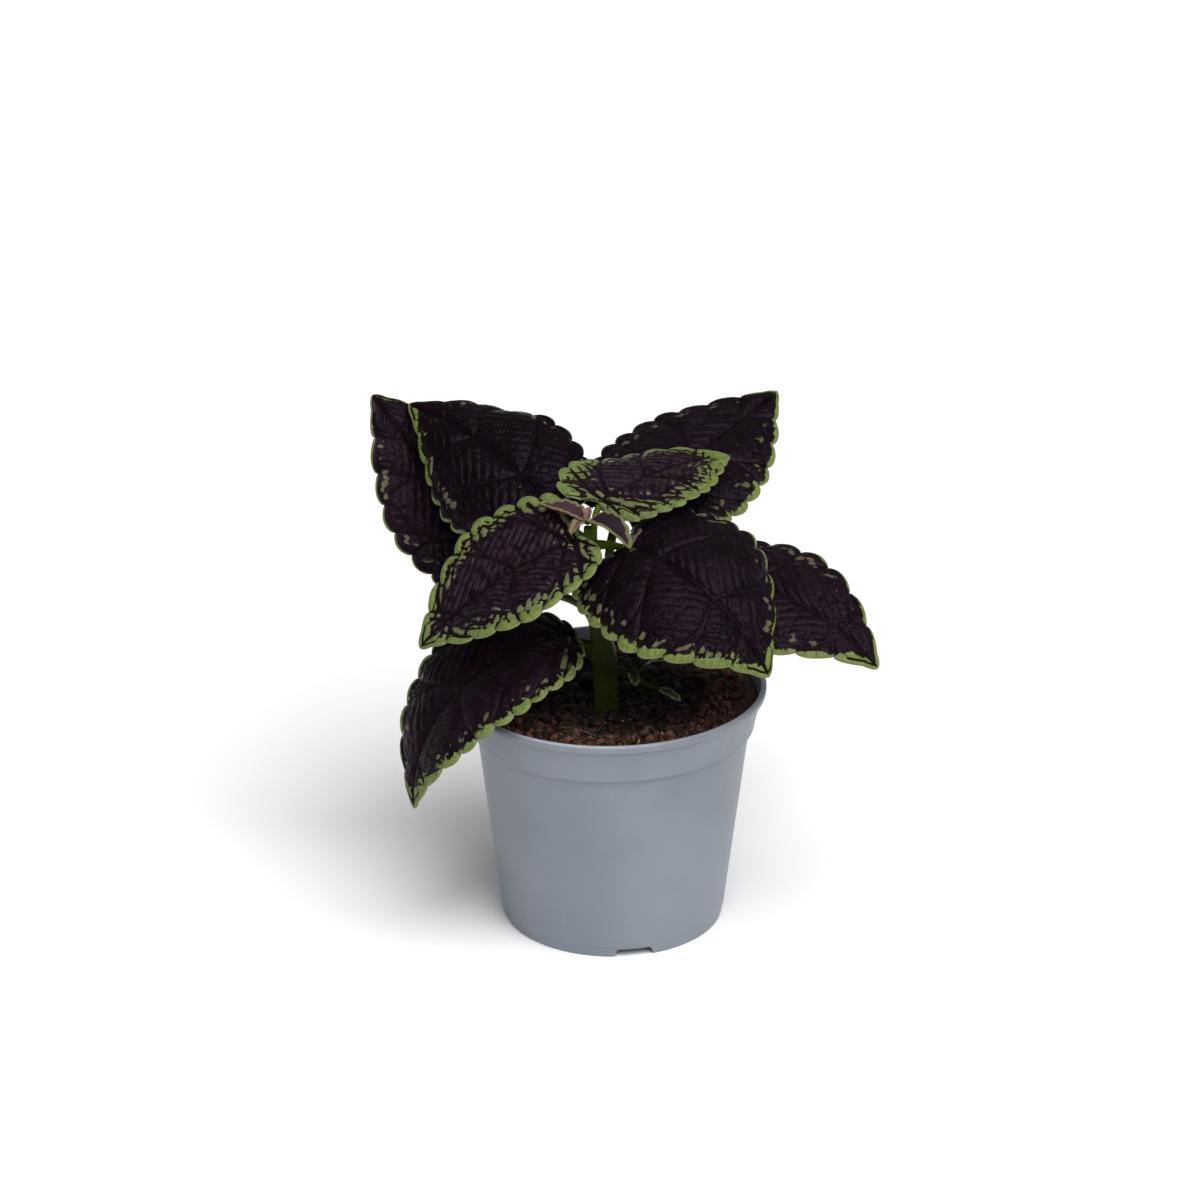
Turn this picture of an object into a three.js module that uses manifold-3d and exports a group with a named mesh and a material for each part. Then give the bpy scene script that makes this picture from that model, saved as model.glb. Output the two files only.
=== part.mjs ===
// A potted coleus: a square-stemmed plant with large drooping leaves in crossed pairs,
// standing in peat in a round plastic nursery pot. Millimetres, +Z up.
import * as THREE from "three";
import { mergeVertices } from "three/addons/utils/BufferGeometryUtils.js";
import Module from "manifold-3d";

const wasm = await Module();
wasm.setup();

// ---------- driving dimensions ----------

const gap = 0.3; // clearance between touching pieces
const radians = Math.PI / 180;

const pot = {
  height: 100,
  rimRadius: 60, // outside of the rolled rim
  rimWidth: 2.2, // how far the flat rim top reaches in
  rimDepth: 3,
  lipTopRadius: 58.4, // the upright band under the rim
  lipBottomRadius: 55.6,
  lipBottom: 83.5,
  shoulderRadius: 53.6, // the body just under the band
  shoulderHeight: 82,
  footRadius: 44.4,
  footBand: 4, // a shallow step runs round the foot at this height
  footBandStep: 0.4,
  floorBottom: 3.5,
  floorThickness: 2,
  wall: 1.6,
  sides: 46,
  squeeze: 0.035, // the thin rim is pressed slightly out of round
  squeezeAngle: 19 * radians,
  notches: 4,
  firstNotch: -79, // degrees
  notchWidth: 17,
  notchTopWidth: 13,
  notchHeight: 3.4,
  drainHoles: 8,
  drainRadius: 3.5,
  drainCircle: 32,
};

const soil = {
  top: 95.5,
  lump: 1.1, // height of the peat's uneven surface
  rings: 7,
};

// The square main stem, from its buried end to the bud: centre and half width.
const stem = {
  stations: [
    { at: [-2.2, -12, 66], half: 2.6 },
    { at: [-2.6, -12.3, 80], half: 4.4 },
    { at: [-2.9, -12.4, 95], half: 5.1 },
    { at: [-3.2, -12.3, 108], half: 4.6 },
    { at: [-4, -12, 119], half: 5.2 },
    { at: [-6, -12, 131], half: 3.6 },
    { at: [-8.6, -12, 146], half: 3 },
    { at: [-9.4, -12, 160], half: 2.9 },
    { at: [-9.8, -13, 169], half: 2.2 },
    { at: [-10.2, -14.2, 174.6], half: 1.5 },
  ],
  steps: 20, // along its length
};

const blade = {
  thickness: 0.9,
  rowsPerTooth: 4,
  smallRowsPerTooth: 2,
  across: [-1, -0.66, -0.33, 0, 0.33, 0.66, 1],
  smallAcross: [-1, -0.5, 0, 0.5, 1],
  widest: 0.36, // share of the length where the blade is widest
  taper: 0.95, // how the outline runs out to its point
  endHalf: 0.5, // half width kept at the base and the tip
  scallop: 2.3, // depth of the notches between the rounded teeth
  scallopShare: 0.2, // and at most this share of the half width
  toothRound: 0.7, // below 1 the teeth are blunter and their notches narrower
  crowd: 1.1, // how much closer the teeth stand towards the base
  plainTip: 0.1, // the last tooth runs out long into the tip
  lobeReach: 0.35, // the base lobes are swept back over this share of the length
};

// Each large leaf: where its blade starts, which way its midrib heads (degrees from +X), how
// steeply it rises there and droops to the tip, how it bends sideways and rolls, its length
// and width, the V of its halves, the turn-down of its margins, the reach of its base lobes
// and by what share the left one outreaches the right one, where the margin of one side
// (-1 left, 1 right) sags or, below 0, swells, and the height and thickness of its stalk on
// the stem.
const largeLeaves = {
  leaf_low_left: {
    base: [-14, -15, 128], heading: 201, rise: 10, droop: 105, bend: -1, roll: 12,
    length: 109, width: 64, fold: 10, curl: 28, lobe: 3, teeth: 13, stalkFrom: 118, stalk: 2.2,
  },
  leaf_upper_left: {
    base: [-14, -19, 173], heading: 194, rise: -20, droop: 28, bend: -6, roll: 18,
    length: 77, width: 65, fold: 10, curl: 10, lobe: 11, teeth: 11, stalkFrom: 159, stalk: 1.6,
  },
  leaf_upper_right: {
    base: [-6, -5.7, 181.4], heading: 46, rise: 11, droop: 21, bend: -8, roll: -3, length: 71,
    width: 54, fold: 10, curl: 22, lobe: 8, uneven: 0.65, teeth: 11, stalkFrom: 159, stalk: 1.6,
    sags: [
      { side: -1, at: 0.5, reach: 0.15, depth: 4 },
      { side: -1, at: 0.14, reach: 0.14, depth: -6 },
      { side: 1, at: 0.08, reach: 0.1, depth: 4 },
    ],
  },
  leaf_front_right: {
    base: [5, -19, 169], heading: 311, rise: 9, droop: 74, bend: 26, roll: -23,
    length: 85, width: 79, fold: 12, curl: 55, lobe: 20, teeth: 12, scallop: 3,
    stalkFrom: 165, stalk: 1.7,
  },
  leaf_low_right: {
    base: [31, -4, 148], heading: 332, rise: 16, droop: 60, bend: -2, roll: -22,
    length: 89, width: 59, fold: 10, curl: 37, lobe: 7, teeth: 9, stalkFrom: 131, stalk: 2,
  },
  leaf_back_right: {
    base: [5, 20, 169], heading: 48, rise: 13, droop: -2, bend: -2, roll: -14,
    length: 94, width: 68, fold: 10, curl: 38, lobe: 16, teeth: 13, stalkFrom: 119, stalk: 2.2,
  },
  leaf_back_left: {
    base: [-24, 10.5, 170], heading: 132, rise: 33, droop: 32, bend: 10, roll: 25, length: 85,
    width: 70, fold: 12, curl: 78, lobe: 11, uneven: 0.3, teeth: 12, stalkFrom: 165, stalk: 1.7,
    sags: [
      { side: 1, at: 0.62, reach: 0.12, depth: 4 },
      { side: 1, at: 0.35, reach: 0.4, depth: -9 },
    ],
  },
  leaf_far_left: {
    base: [-44, 42.5, 132.5], heading: 155, rise: 49, droop: 0, bend: 5, roll: 36,
    length: 88, width: 62, fold: 12, curl: 36, lobe: 9, teeth: 10, stalkFrom: 131, stalk: 2,
  },
};

// The youngest leaves open round the bud at the top.
const bud = { at: [-10.4, -14.8, 177], radius: 2 };
const youngLeaves = [
  { heading: 162, rise: 24, droop: 22, length: 20, width: 13, fold: 30, curl: 10, lobe: 1 },
  { heading: 318, rise: 24, droop: 75, length: 24, width: 14, fold: 26, curl: 10, lobe: 1 },
  { heading: 236, rise: 30, droop: 80, length: 11, width: 6, fold: 30, curl: 10, lobe: 0 },
  { heading: 60, rise: 78, droop: 20, length: 5, width: 3.5, fold: 30, curl: 10, lobe: 0 },
];

// The thin pale side shoot low on the stem: points along each strand, and its small leaves.
const sideShoot = {
  radius: 0.9,
  strands: [
    [[-2, -13, 113], [6, -17, 113.5], [9.5, -19, 114], [14, -20, 119]],
    [[-1, -13, 112], [8, -18, 111.5], [13, -20, 109], [19, -22, 108]],
  ],
  leaves: [
    { base: [13, -20, 118], heading: 330, rise: 50, droop: 50, length: 9, width: 5 },
    { base: [18, -22, 108.2], heading: 335, rise: -5, droop: 30, length: 10, width: 6 },
    { base: [7, -17.5, 113.5], heading: 285, rise: 10, droop: 60, length: 8, width: 4.5 },
  ],
};

// ---------- materials ----------

function material(colour, roughness) {
  return new THREE.MeshStandardMaterial({ color: colour, roughness, metalness: 0 });
}
const finishes = {
  pot: material(0x82909a, 0.5),
  soil: material(0x2d1a15, 0.95),
  stem: material(0x5f7d34, 0.55),
  leaf: material(0x2a1622, 0.5),
  young: material(0x5a3f4c, 0.5),
};

// ---------- helpers ----------

function closedGeometry(positions, index) {
  const geometry = new THREE.BufferGeometry();
  geometry.setAttribute("position", new THREE.Float32BufferAttribute(positions, 3));
  geometry.setIndex(index);
  return geometry;
}

// A closed three.js geometry as a solid that can be joined and cut.
function solidOf(geometry) {
  const bare = geometry.clone();
  bare.deleteAttribute("normal");
  bare.deleteAttribute("uv");
  const merged = mergeVertices(bare, 1e-4);
  return new wasm.Manifold(new wasm.Mesh({
    numProp: 3,
    vertProperties: new Float32Array(merged.attributes.position.array),
    triVerts: new Uint32Array(merged.index.array),
  }));
}

function geometryOf(solid) {
  const mesh = solid.getMesh();
  return closedGeometry(Array.from(mesh.vertProperties), Array.from(mesh.triVerts));
}

// The skin over rings of points of equal count, closed by a fan at each end.
function loft(rings) {
  const count = rings[0].length;
  const positions = rings.flat().flatMap((p) => [p.x, p.y, p.z]);
  const index = [];
  for (let r = 0; r < rings.length - 1; r += 1) {
    for (let i = 0; i < count; i += 1) {
      const a = r * count + i;
      const b = r * count + ((i + 1) % count);
      index.push(a, b, b + count, a, b + count, a + count);
    }
  }
  const last = (rings.length - 1) * count;
  for (let i = 1; i < count - 1; i += 1) {
    index.push(0, i + 1, i, last, last + i, last + i + 1);
  }
  return closedGeometry(positions, index);
}

// ---------- pot ----------

// The thin wall goes out of round towards the rim, by a share that grows with height.
function squeezed(geometry) {
  const position = geometry.attributes.position;
  for (let i = 0; i < position.count; i += 1) {
    const x = position.getX(i);
    const y = position.getY(i);
    const angle = Math.atan2(y, x);
    const share = Math.max(0, position.getZ(i) / pot.height);
    const k = 1 + pot.squeeze * share * Math.cos(2 * (angle - pot.squeezeAngle));
    position.setXY(i, x * k, y * k);
  }
  return geometry;
}

// A profile of [radius, height] points turned about the upright axis.
function turned(profile) {
  const points = profile.map(([radius, height]) => new THREE.Vector2(radius, height));
  return new THREE.LatheGeometry(points, pot.sides).rotateX(Math.PI / 2);
}

function potProfile() {
  const rimBottom = pot.height - pot.rimDepth;
  const footSlope = (pot.shoulderRadius - pot.footRadius) / pot.shoulderHeight;
  const bandTop = pot.footRadius + footSlope * pot.footBand;
  const floorTop = pot.floorBottom + pot.floorThickness;
  const floorRadius = pot.footRadius + footSlope * floorTop - pot.wall;
  const bead = pot.rimDepth / 2;
  return [
    [pot.footRadius, 0],
    [bandTop, pot.footBand],
    [bandTop + pot.footBandStep, pot.footBand + pot.footBandStep],
    [pot.shoulderRadius, pot.shoulderHeight],
    [pot.lipBottomRadius, pot.lipBottom],
    [pot.lipTopRadius, rimBottom],
    [pot.rimRadius - 0.2, rimBottom],
    [pot.rimRadius, rimBottom + bead],
    [pot.rimRadius - 0.8, pot.height],
    [pot.rimRadius - pot.rimWidth, pot.height],
    [pot.lipTopRadius - pot.wall, rimBottom],
    [pot.lipBottomRadius - pot.wall, pot.lipBottom],
    [pot.shoulderRadius - pot.wall, pot.shoulderHeight - 1],
    [floorRadius, floorTop],
    [0, floorTop],
    [0, pot.floorBottom],
    [pot.footRadius - pot.wall, pot.floorBottom],
    [pot.footRadius - pot.wall, 0],
    [pot.footRadius, 0],
  ];
}

function notchTool(angle) {
  const outline = new THREE.Shape();
  outline.moveTo(-pot.notchWidth / 2, -1);
  outline.lineTo(pot.notchWidth / 2, -1);
  outline.lineTo(pot.notchTopWidth / 2, pot.notchHeight);
  outline.lineTo(-pot.notchTopWidth / 2, pot.notchHeight);
  const depth = 12;
  return new THREE.ExtrudeGeometry(outline, { depth, bevelEnabled: false })
    .rotateX(Math.PI / 2)
    .translate(0, depth + pot.footRadius - depth / 2, 0)
    .rotateZ(angle - Math.PI / 2);
}

function makePot() {
  let solid = solidOf(squeezed(turned(potProfile())));
  for (let i = 0; i < pot.notches; i += 1) {
    const angle = (pot.firstNotch + (i * 360) / pot.notches) * radians;
    solid = solid.subtract(solidOf(notchTool(angle)));
  }
  for (let i = 0; i < pot.drainHoles; i += 1) {
    const angle = ((i + 0.5) * 2 * Math.PI) / pot.drainHoles;
    const hole = new THREE.CylinderGeometry(pot.drainRadius, pot.drainRadius, 6, 12)
      .rotateX(Math.PI / 2)
      .translate(
        pot.drainCircle * Math.cos(angle),
        pot.drainCircle * Math.sin(angle),
        pot.floorBottom + pot.floorThickness / 2,
      );
    solid = solid.subtract(solidOf(hole));
  }
  return geometryOf(solid);
}

// ---------- stem, leaf stalks and side shoot ----------

function squareRing(centre, half, tangent) {
  const side = new THREE.Vector3(0, 1, 0).cross(tangent).normalize();
  const front = tangent.clone().cross(side).normalize();
  const corner = 0.3; // how far the corners are rounded off, as a share of the half width
  const ring = [];
  for (let quarter = 0; quarter < 4; quarter += 1) {
    for (const turn of [-1, 0, 1]) {
      const angle = quarter * 90 * radians + 45 * radians + turn * 24 * radians;
      const reach = turn === 0 ? 1.41 - corner * 0.5 : 1.1;
      const point = centre.clone()
        .addScaledVector(side, half * reach * Math.cos(angle))
        .addScaledVector(front, half * reach * Math.sin(angle));
      ring.push(point);
    }
  }
  return ring;
}

const stemCurve = new THREE.CatmullRomCurve3(
  stem.stations.map((station) => new THREE.Vector3(...station.at)),
  false,
  "centripetal",
);

// The stem's centre at a height, between its stations.
function stemAt(height) {
  const upper = stem.stations.findIndex((station) => station.at[2] >= height);
  const low = new THREE.Vector3(...stem.stations[upper - 1].at);
  const high = new THREE.Vector3(...stem.stations[upper].at);
  return low.lerp(high, (height - low.z) / (high.z - low.z));
}

function stemHalfAt(share) {
  const place = share * (stem.stations.length - 1);
  const lower = Math.min(Math.floor(place), stem.stations.length - 2);
  const mix = place - lower;
  return stem.stations[lower].half * (1 - mix) + stem.stations[lower + 1].half * mix;
}

function mainStem(extra = 0) {
  const rings = [];
  for (let i = 0; i <= stem.steps; i += 1) {
    const share = i / stem.steps;
    const tangent = stemCurve.getTangent(share).normalize();
    rings.push(squareRing(stemCurve.getPoint(share), stemHalfAt(share) + extra, tangent));
  }
  return loft(rings);
}

// A round stalk of one radius along a curve.
function stalkAlong(curve, radius, steps) {
  const section = new THREE.Shape();
  section.absarc(0, 0, radius, 0, 2 * Math.PI);
  return new THREE.ExtrudeGeometry(section, {
    extrudePath: curve,
    steps,
    curveSegments: 4,
    bevelEnabled: false,
  });
}

// A leaf stalk leaves the stem outwards and up, and comes in under the start of the blade.
function leafStalk(leaf) {
  const start = stemAt(leaf.stalkFrom);
  const frame = bladeFrame(leaf, 0);
  const end = frame.middle.clone()
    .addScaledVector(frame.along, 2)
    .addScaledVector(frame.normal, -(blade.thickness / 2 + gap + leaf.stalk));
  const reach = end.distanceTo(start) / 3;
  const outward = new THREE.Vector3(end.x - start.x, end.y - start.y, 0).normalize();
  outward.z = 0.8;
  const curve = new THREE.CubicBezierCurve3(
    start,
    start.clone().addScaledVector(outward.normalize(), reach),
    end.clone().addScaledVector(frame.along, -reach),
    end,
  );
  return stalkAlong(curve, leaf.stalk * 0.85, 9);
}

function makeStem() {
  let solid = solidOf(mainStem());
  for (const leaf of Object.values(largeLeaves)) {
    solid = solid.add(solidOf(leafStalk(leaf)));
  }
  for (const strand of sideShoot.strands) {
    const curve = new THREE.CatmullRomCurve3(strand.map((p) => new THREE.Vector3(...p)));
    solid = solid.add(solidOf(stalkAlong(curve, sideShoot.radius, 6)));
  }
  for (const leaf of sideShoot.leaves) {
    const small = {
      bend: 0, roll: 0, fold: 12, curl: 10, lobe: 0, teeth: 4, scallop: 0.2, ...leaf,
    };
    solid = solid.add(solidOf(bladeGeometry(small, blade.smallRowsPerTooth, blade.smallAcross)));
  }
  return geometryOf(solid);
}

// ---------- soil ----------

// The peat's surface: low lumps, a little higher round the stem.
function soilHeight(x, y) {
  const lumps = Math.sin(0.31 * x + 1.3) * Math.cos(0.27 * y - 0.6)
    + 0.6 * Math.sin(0.53 * y + 0.21 * x);
  const edge = Math.min(1, Math.max(0, (54 - Math.hypot(x, y)) / 8));
  return soil.top + soil.lump * (0.5 * lumps * edge - 0.3 * (1 - edge));
}

function makeSoil() {
  const slope = (pot.shoulderRadius - pot.footRadius) / pot.shoulderHeight;
  const bottom = pot.floorBottom + pot.floorThickness + gap;
  const topRadius = pot.lipTopRadius - pot.wall - gap - 0.4;
  const profile = [[0, bottom]];
  profile.push([pot.footRadius + slope * bottom - pot.wall - gap - 0.2, bottom]);
  profile.push([pot.shoulderRadius - pot.wall - gap - 0.2, pot.shoulderHeight - 1]);
  profile.push([pot.lipBottomRadius - pot.wall - gap - 0.2, pot.lipBottom]);
  for (let ring = soil.rings; ring >= 0; ring -= 1) {
    profile.push([(topRadius * ring) / soil.rings, soil.top]);
  }
  const geometry = squeezed(turned(profile));
  const position = geometry.attributes.position;
  for (let i = 0; i < position.count; i += 1) {
    if (position.getZ(i) > soil.top - 1e-3) {
      position.setZ(i, soilHeight(position.getX(i), position.getY(i)));
    }
  }
  return geometryOf(solidOf(geometry).subtract(solidOf(mainStem(gap))));
}

// ---------- leaves ----------

// Half-width share of the egg-shaped outline, 0 at both ends and 1 at the widest place.
function outlineShare(s) {
  const b = blade.taper;
  const a = (b * blade.widest) / (1 - blade.widest);
  const top = blade.widest ** a * (1 - blade.widest) ** b;
  return (s ** a * (1 - s) ** b) / top;
}

// Direction, side and upper normal of the midrib at a share of its length.
function bladeFrame(leaf, s) {
  const heading = (leaf.heading + leaf.bend * s) * radians;
  const pitch = (leaf.rise - leaf.droop * s) * radians;
  const along = new THREE.Vector3(
    Math.cos(pitch) * Math.cos(heading),
    Math.cos(pitch) * Math.sin(heading),
    Math.sin(pitch),
  );
  const side = new THREE.Vector3(Math.sin(heading), -Math.cos(heading), 0);
  const normal = side.clone().cross(along);
  side.applyAxisAngle(along, -leaf.roll * radians);
  normal.applyAxisAngle(along, -leaf.roll * radians);
  return { middle: new THREE.Vector3(...leaf.base), along, side, normal };
}

// How far the outline is swept back there into a base lobe.
function lobeSweep(leaf, s) {
  return 2 * leaf.lobe * outlineShare(s) * Math.max(0, 1 - s / blade.lobeReach) ** 1.5;
}

// How far the margin sags below the plain form there, from 0 at the midrib.
function sagAt(leaf, s, t) {
  let sag = 0;
  for (const { side, at, reach, depth } of leaf.sags ?? []) {
    if (t * side > 0) sag += depth * t * t * Math.exp(-(((s - at) / reach) ** 2));
  }
  return sag;
}

// Shares of the length at which the rows lie, a fixed number of them to each tooth.
function rowShares(leaf, rows) {
  const fine = 400;
  const arcs = [0];
  let before = new THREE.Vector2(0, 0);
  for (let i = 1; i <= fine; i += 1) {
    const s = i / fine;
    const along = leaf.length * s - lobeSweep(leaf, s);
    const edge = new THREE.Vector2(along, (leaf.width / 2) * outlineShare(s));
    arcs.push(arcs[i - 1] + edge.distanceTo(before));
    before = edge;
  }
  const shares = [];
  let upper = 1;
  for (let row = 0; row <= rows; row += 1) {
    const phase = row / rows;
    const run = (1 - blade.plainTip) * phase ** blade.crowd + blade.plainTip * phase ** 8;
    const arc = run * arcs[fine];
    while (upper < fine && arcs[upper] < arc) upper += 1;
    const mix = (arc - arcs[upper - 1]) / (arcs[upper] - arcs[upper - 1]);
    shares.push((upper - 1 + mix) / fine);
  }
  return shares;
}

// The midrib's frames at each row, its points summed up from the directions.
function midrib(leaf, rows) {
  const frames = [];
  const fine = 12; // small steps between two rows
  let middle = new THREE.Vector3(...leaf.base);
  let before = 0;
  for (const s of rowShares(leaf, rows)) {
    const step = ((s - before) / fine) * leaf.length;
    for (let i = 0; i < fine && s > 0; i += 1) {
      const here = before + ((i + 0.5) / fine) * (s - before);
      middle = middle.clone().addScaledVector(bladeFrame(leaf, here).along, step);
    }
    before = s;
    frames.push({ ...bladeFrame(leaf, s), middle, s });
  }
  return frames;
}

// One blade as a closed sheet: the same grid above and below, split along the same diagonals.
// Its margin is scalloped, in rounded teeth with narrow notches between them.
function bladeGeometry(leaf, rowsPerTooth, across) {
  const rows = leaf.teeth * rowsPerTooth;
  const columns = across.length;
  const faces = [[], []];
  for (const [row, frame] of midrib(leaf, rows).entries()) {
    const crown = Math.abs(Math.sin((Math.PI * row) / rowsPerTooth)) ** blade.toothRound;
    const full = (leaf.width / 2) * outlineShare(frame.s);
    const notch = Math.min(leaf.scallop ?? blade.scallop, blade.scallopShare * full);
    const half = Math.max(blade.endHalf, full - notch * (1 - crown));
    for (const t of across) {
      const a = Math.abs(t);
      const slope = (leaf.fold - (leaf.curl * a) / 2) * radians;
      const sweep = lobeSweep(leaf, frame.s) * (1 - (leaf.uneven ?? 0) * t);
      const point = frame.middle.clone()
        .addScaledVector(frame.side, half * t * Math.cos(slope))
        .addScaledVector(frame.normal, half * a * Math.sin(slope) - sagAt(leaf, frame.s, t))
        .addScaledVector(frame.along, -sweep * a ** 1.5);
      faces[0].push(point.clone().addScaledVector(frame.normal, blade.thickness / 2));
      faces[1].push(point.addScaledVector(frame.normal, -blade.thickness / 2));
    }
  }
  const under = faces[0].length;
  const index = [];
  for (let row = 0; row < rows; row += 1) {
    for (let column = 0; column < columns - 1; column += 1) {
      const a = row * columns + column;
      const b = a + 1;
      const c = b + columns;
      const d = a + columns;
      index.push(a, b, c, a, c, d);
      index.push(under + a, under + c, under + b, under + a, under + d, under + c);
    }
  }
  const rim = [];
  for (let column = 0; column < columns - 1; column += 1) rim.push([column, column + 1]);
  for (let row = 0; row < rows; row += 1) {
    rim.push([(row + 1) * columns - 1, (row + 2) * columns - 1]);
  }
  for (let column = columns - 1; column > 0; column -= 1) {
    rim.push([rows * columns + column, rows * columns + column - 1]);
  }
  for (let row = rows; row > 0; row -= 1) rim.push([row * columns, (row - 1) * columns]);
  for (const [a, b] of rim) index.push(a, under + b, b, a, under + a, under + b);
  return closedGeometry(faces.flat().flatMap((p) => [p.x, p.y, p.z]), index);
}

function makeYoungLeaves() {
  const centre = new THREE.Vector3(...bud.at);
  const bump = new THREE.SphereGeometry(bud.radius, 10, 7).translate(...bud.at);
  let solid = solidOf(bump);
  for (const young of youngLeaves) {
    const leaf = { bend: 0, roll: 0, teeth: 7, scallop: 0.5, ...young, base: bud.at };
    const frame = bladeFrame(leaf, 0);
    leaf.base = centre.clone().addScaledVector(frame.along, bud.radius * 0.5).toArray();
    solid = solid.add(solidOf(bladeGeometry(leaf, blade.smallRowsPerTooth, blade.smallAcross)));
  }
  return geometryOf(solid);
}

// ---------- the plant ----------

const coleus = new THREE.Group();

function addPiece(name, geometry, finish) {
  const mesh = new THREE.Mesh(geometry, finish);
  mesh.name = name;
  coleus.add(mesh);
}

addPiece("pot", makePot(), finishes.pot);
addPiece("soil", makeSoil(), finishes.soil);
addPiece("stem", makeStem(), finishes.stem);
for (const [name, leaf] of Object.entries(largeLeaves)) {
  addPiece(name, bladeGeometry(leaf, blade.rowsPerTooth, blade.across), finishes.leaf);
}
addPiece("young_leaves", makeYoungLeaves(), finishes.young);

// The frame's origin is the middle of the plant's bounding box, on the ground.
const bounds = new THREE.Box3().setFromObject(coleus);
const middle = bounds.getCenter(new THREE.Vector3());
coleus.position.set(-middle.x, -middle.y, 0);

export default coleus;
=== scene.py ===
# Potted coleus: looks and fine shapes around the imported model.
import math
from functools import partial

import bmesh
import bpy
import numpy as np
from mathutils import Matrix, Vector, noise


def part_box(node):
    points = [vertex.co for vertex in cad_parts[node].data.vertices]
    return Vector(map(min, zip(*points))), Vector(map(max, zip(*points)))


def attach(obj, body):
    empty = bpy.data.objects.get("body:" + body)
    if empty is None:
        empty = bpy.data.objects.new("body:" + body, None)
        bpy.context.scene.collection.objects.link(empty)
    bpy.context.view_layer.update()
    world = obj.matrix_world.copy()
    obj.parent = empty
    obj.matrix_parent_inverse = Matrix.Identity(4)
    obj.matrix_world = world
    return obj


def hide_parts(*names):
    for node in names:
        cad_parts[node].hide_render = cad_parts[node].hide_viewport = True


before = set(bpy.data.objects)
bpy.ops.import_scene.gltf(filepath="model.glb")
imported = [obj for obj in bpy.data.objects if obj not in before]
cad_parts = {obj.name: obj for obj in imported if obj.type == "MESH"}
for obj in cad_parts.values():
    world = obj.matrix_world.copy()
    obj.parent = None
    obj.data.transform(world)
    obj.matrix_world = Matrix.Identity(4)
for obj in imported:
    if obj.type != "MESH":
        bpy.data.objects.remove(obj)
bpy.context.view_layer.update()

scene = bpy.context.scene
radians = math.pi / 180
potLow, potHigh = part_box("pot")
potAxis = np.array([(potLow.x + potHigh.x) / 2, (potLow.y + potHigh.y) / 2, 0]) * 1000  # mm
up = np.array([0.0, 0.0, 1.0])


# camera, floor and light

camera = {
    "place": (-5.3, -1704.6, 903.0),  # mm from the pot's axis
    "pitch": -24.2,  # degrees below level
    "lens": 141.0,
    "sensor": 36,
}
studio = {
    "world": 0.24,
    "sunPower": 3.5,
    "sunFrom": (0.3, -0.55, 1.0),  # the side that the light comes from
    "sunSpread": 55,  # degrees, wide as a cloudy sky's bright part
    "floorColour": (0.98, 0.98, 0.98, 1),
    "floorRoughness": 0.8,
    "floorHalf": 6.0,  # metres
}


def link(name, data):
    made = bpy.data.objects.new(name, data)
    scene.collection.objects.link(made)
    return made


def makeStudio():
    data = bpy.data.cameras.new("camera")
    data.lens = camera["lens"]
    data.sensor_width = camera["sensor"]
    data.clip_end = 20
    eye = link("camera", data)
    eye.location = Vector(camera["place"]) * 0.001 + Vector(potAxis * 0.001)
    eye.rotation_euler = ((90 + camera["pitch"]) * radians, 0, 0)
    scene.camera = eye
    light = bpy.data.lights.new("sky", "SUN")
    light.energy = studio["sunPower"]
    light.angle = studio["sunSpread"] * radians
    lamp = link("sky", light)
    lamp.rotation_euler = Vector(studio["sunFrom"]).to_track_quat("Z", "Y").to_euler()
    world = bpy.data.worlds.new("studio")
    world.use_nodes = True
    background = world.node_tree.nodes["Background"].inputs
    background["Color"].default_value = (1, 1, 1, 1)
    background["Strength"].default_value = studio["world"]
    scene.world = world
    scene.view_settings.view_transform = "Standard"
    half = studio["floorHalf"]
    corners = [(-half, -half, 0), (half, -half, 0), (half, half, 0), (-half, half, 0)]
    mesh = bpy.data.meshes.new("floor")
    mesh.from_pydata(corners, [], [(0, 1, 2, 3)])
    floor = link("floor", mesh)
    paint, _, shader = newMaterial("paleFloor")
    coat(shader, studio["floorColour"], studio["floorRoughness"])
    mesh.materials.append(paint)


# materials

def tint(red, green, blue):
    steps = [c / 255 for c in (red, green, blue)]
    return tuple(((c + 0.055) / 1.055) ** 2.4 if c > 0.04 else c / 12.92 for c in steps) + (1,)


def newMaterial(name):
    made = bpy.data.materials.new(name)
    made.use_nodes = True
    return made, made.node_tree, made.node_tree.nodes["Principled BSDF"]


def plug(socket, value):
    if isinstance(value, bpy.types.NodeSocket):
        socket.id_data.links.new(value, socket)
    else:
        socket.default_value = value


# Adds a node; values are numbers, colours or the outputs of other nodes, by socket. The node
# goes where the first of those outputs is, or else into the tree given.
def add(kind, values=None, out=0, tree=None, **settings):
    outputs = [v for v in (values or {}).values() if isinstance(v, bpy.types.NodeSocket)]
    made = (outputs[0].id_data if outputs else tree).nodes.new("ShaderNode" + kind)
    for key, value in settings.items():
        setattr(made, key, value)
    for key, value in (values or {}).items():
        plug(made.inputs[key], value)
    return made.outputs[out]


def calc(operation, a, b, c=0.0):
    return add("Math", {0: a, 1: b, 2: c}, operation=operation)


plus, minus, times, over, least, most, timesPlus = (
    partial(calc, operation) for operation in
    ("ADD", "SUBTRACT", "MULTIPLY", "DIVIDE", "MINIMUM", "MAXIMUM", "MULTIPLY_ADD"))


# Smooth 0 to 1 between two values.
def rise(value, low, high):
    return add("MapRange", {"Value": value, "From Min": low, "From Max": high},
               interpolation_type="SMOOTHSTEP")


def blendColour(share, first, second):
    return add("Mix", {"Factor": share, 6: first, 7: second}, out=2, data_type="RGBA")


def grain(place, scale, detail=2.0, roughness=0.5):
    return add("TexNoise", {"Vector": place, "Scale": scale, "Detail": detail,
                            "Roughness": roughness})


def cells(place, scale, feature="F1"):
    return add("TexVoronoi", {"Vector": place, "Scale": scale}, out="Distance", feature=feature)


def meshPlace(tree):
    return add("TexCoord", out="Object", tree=tree)


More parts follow.
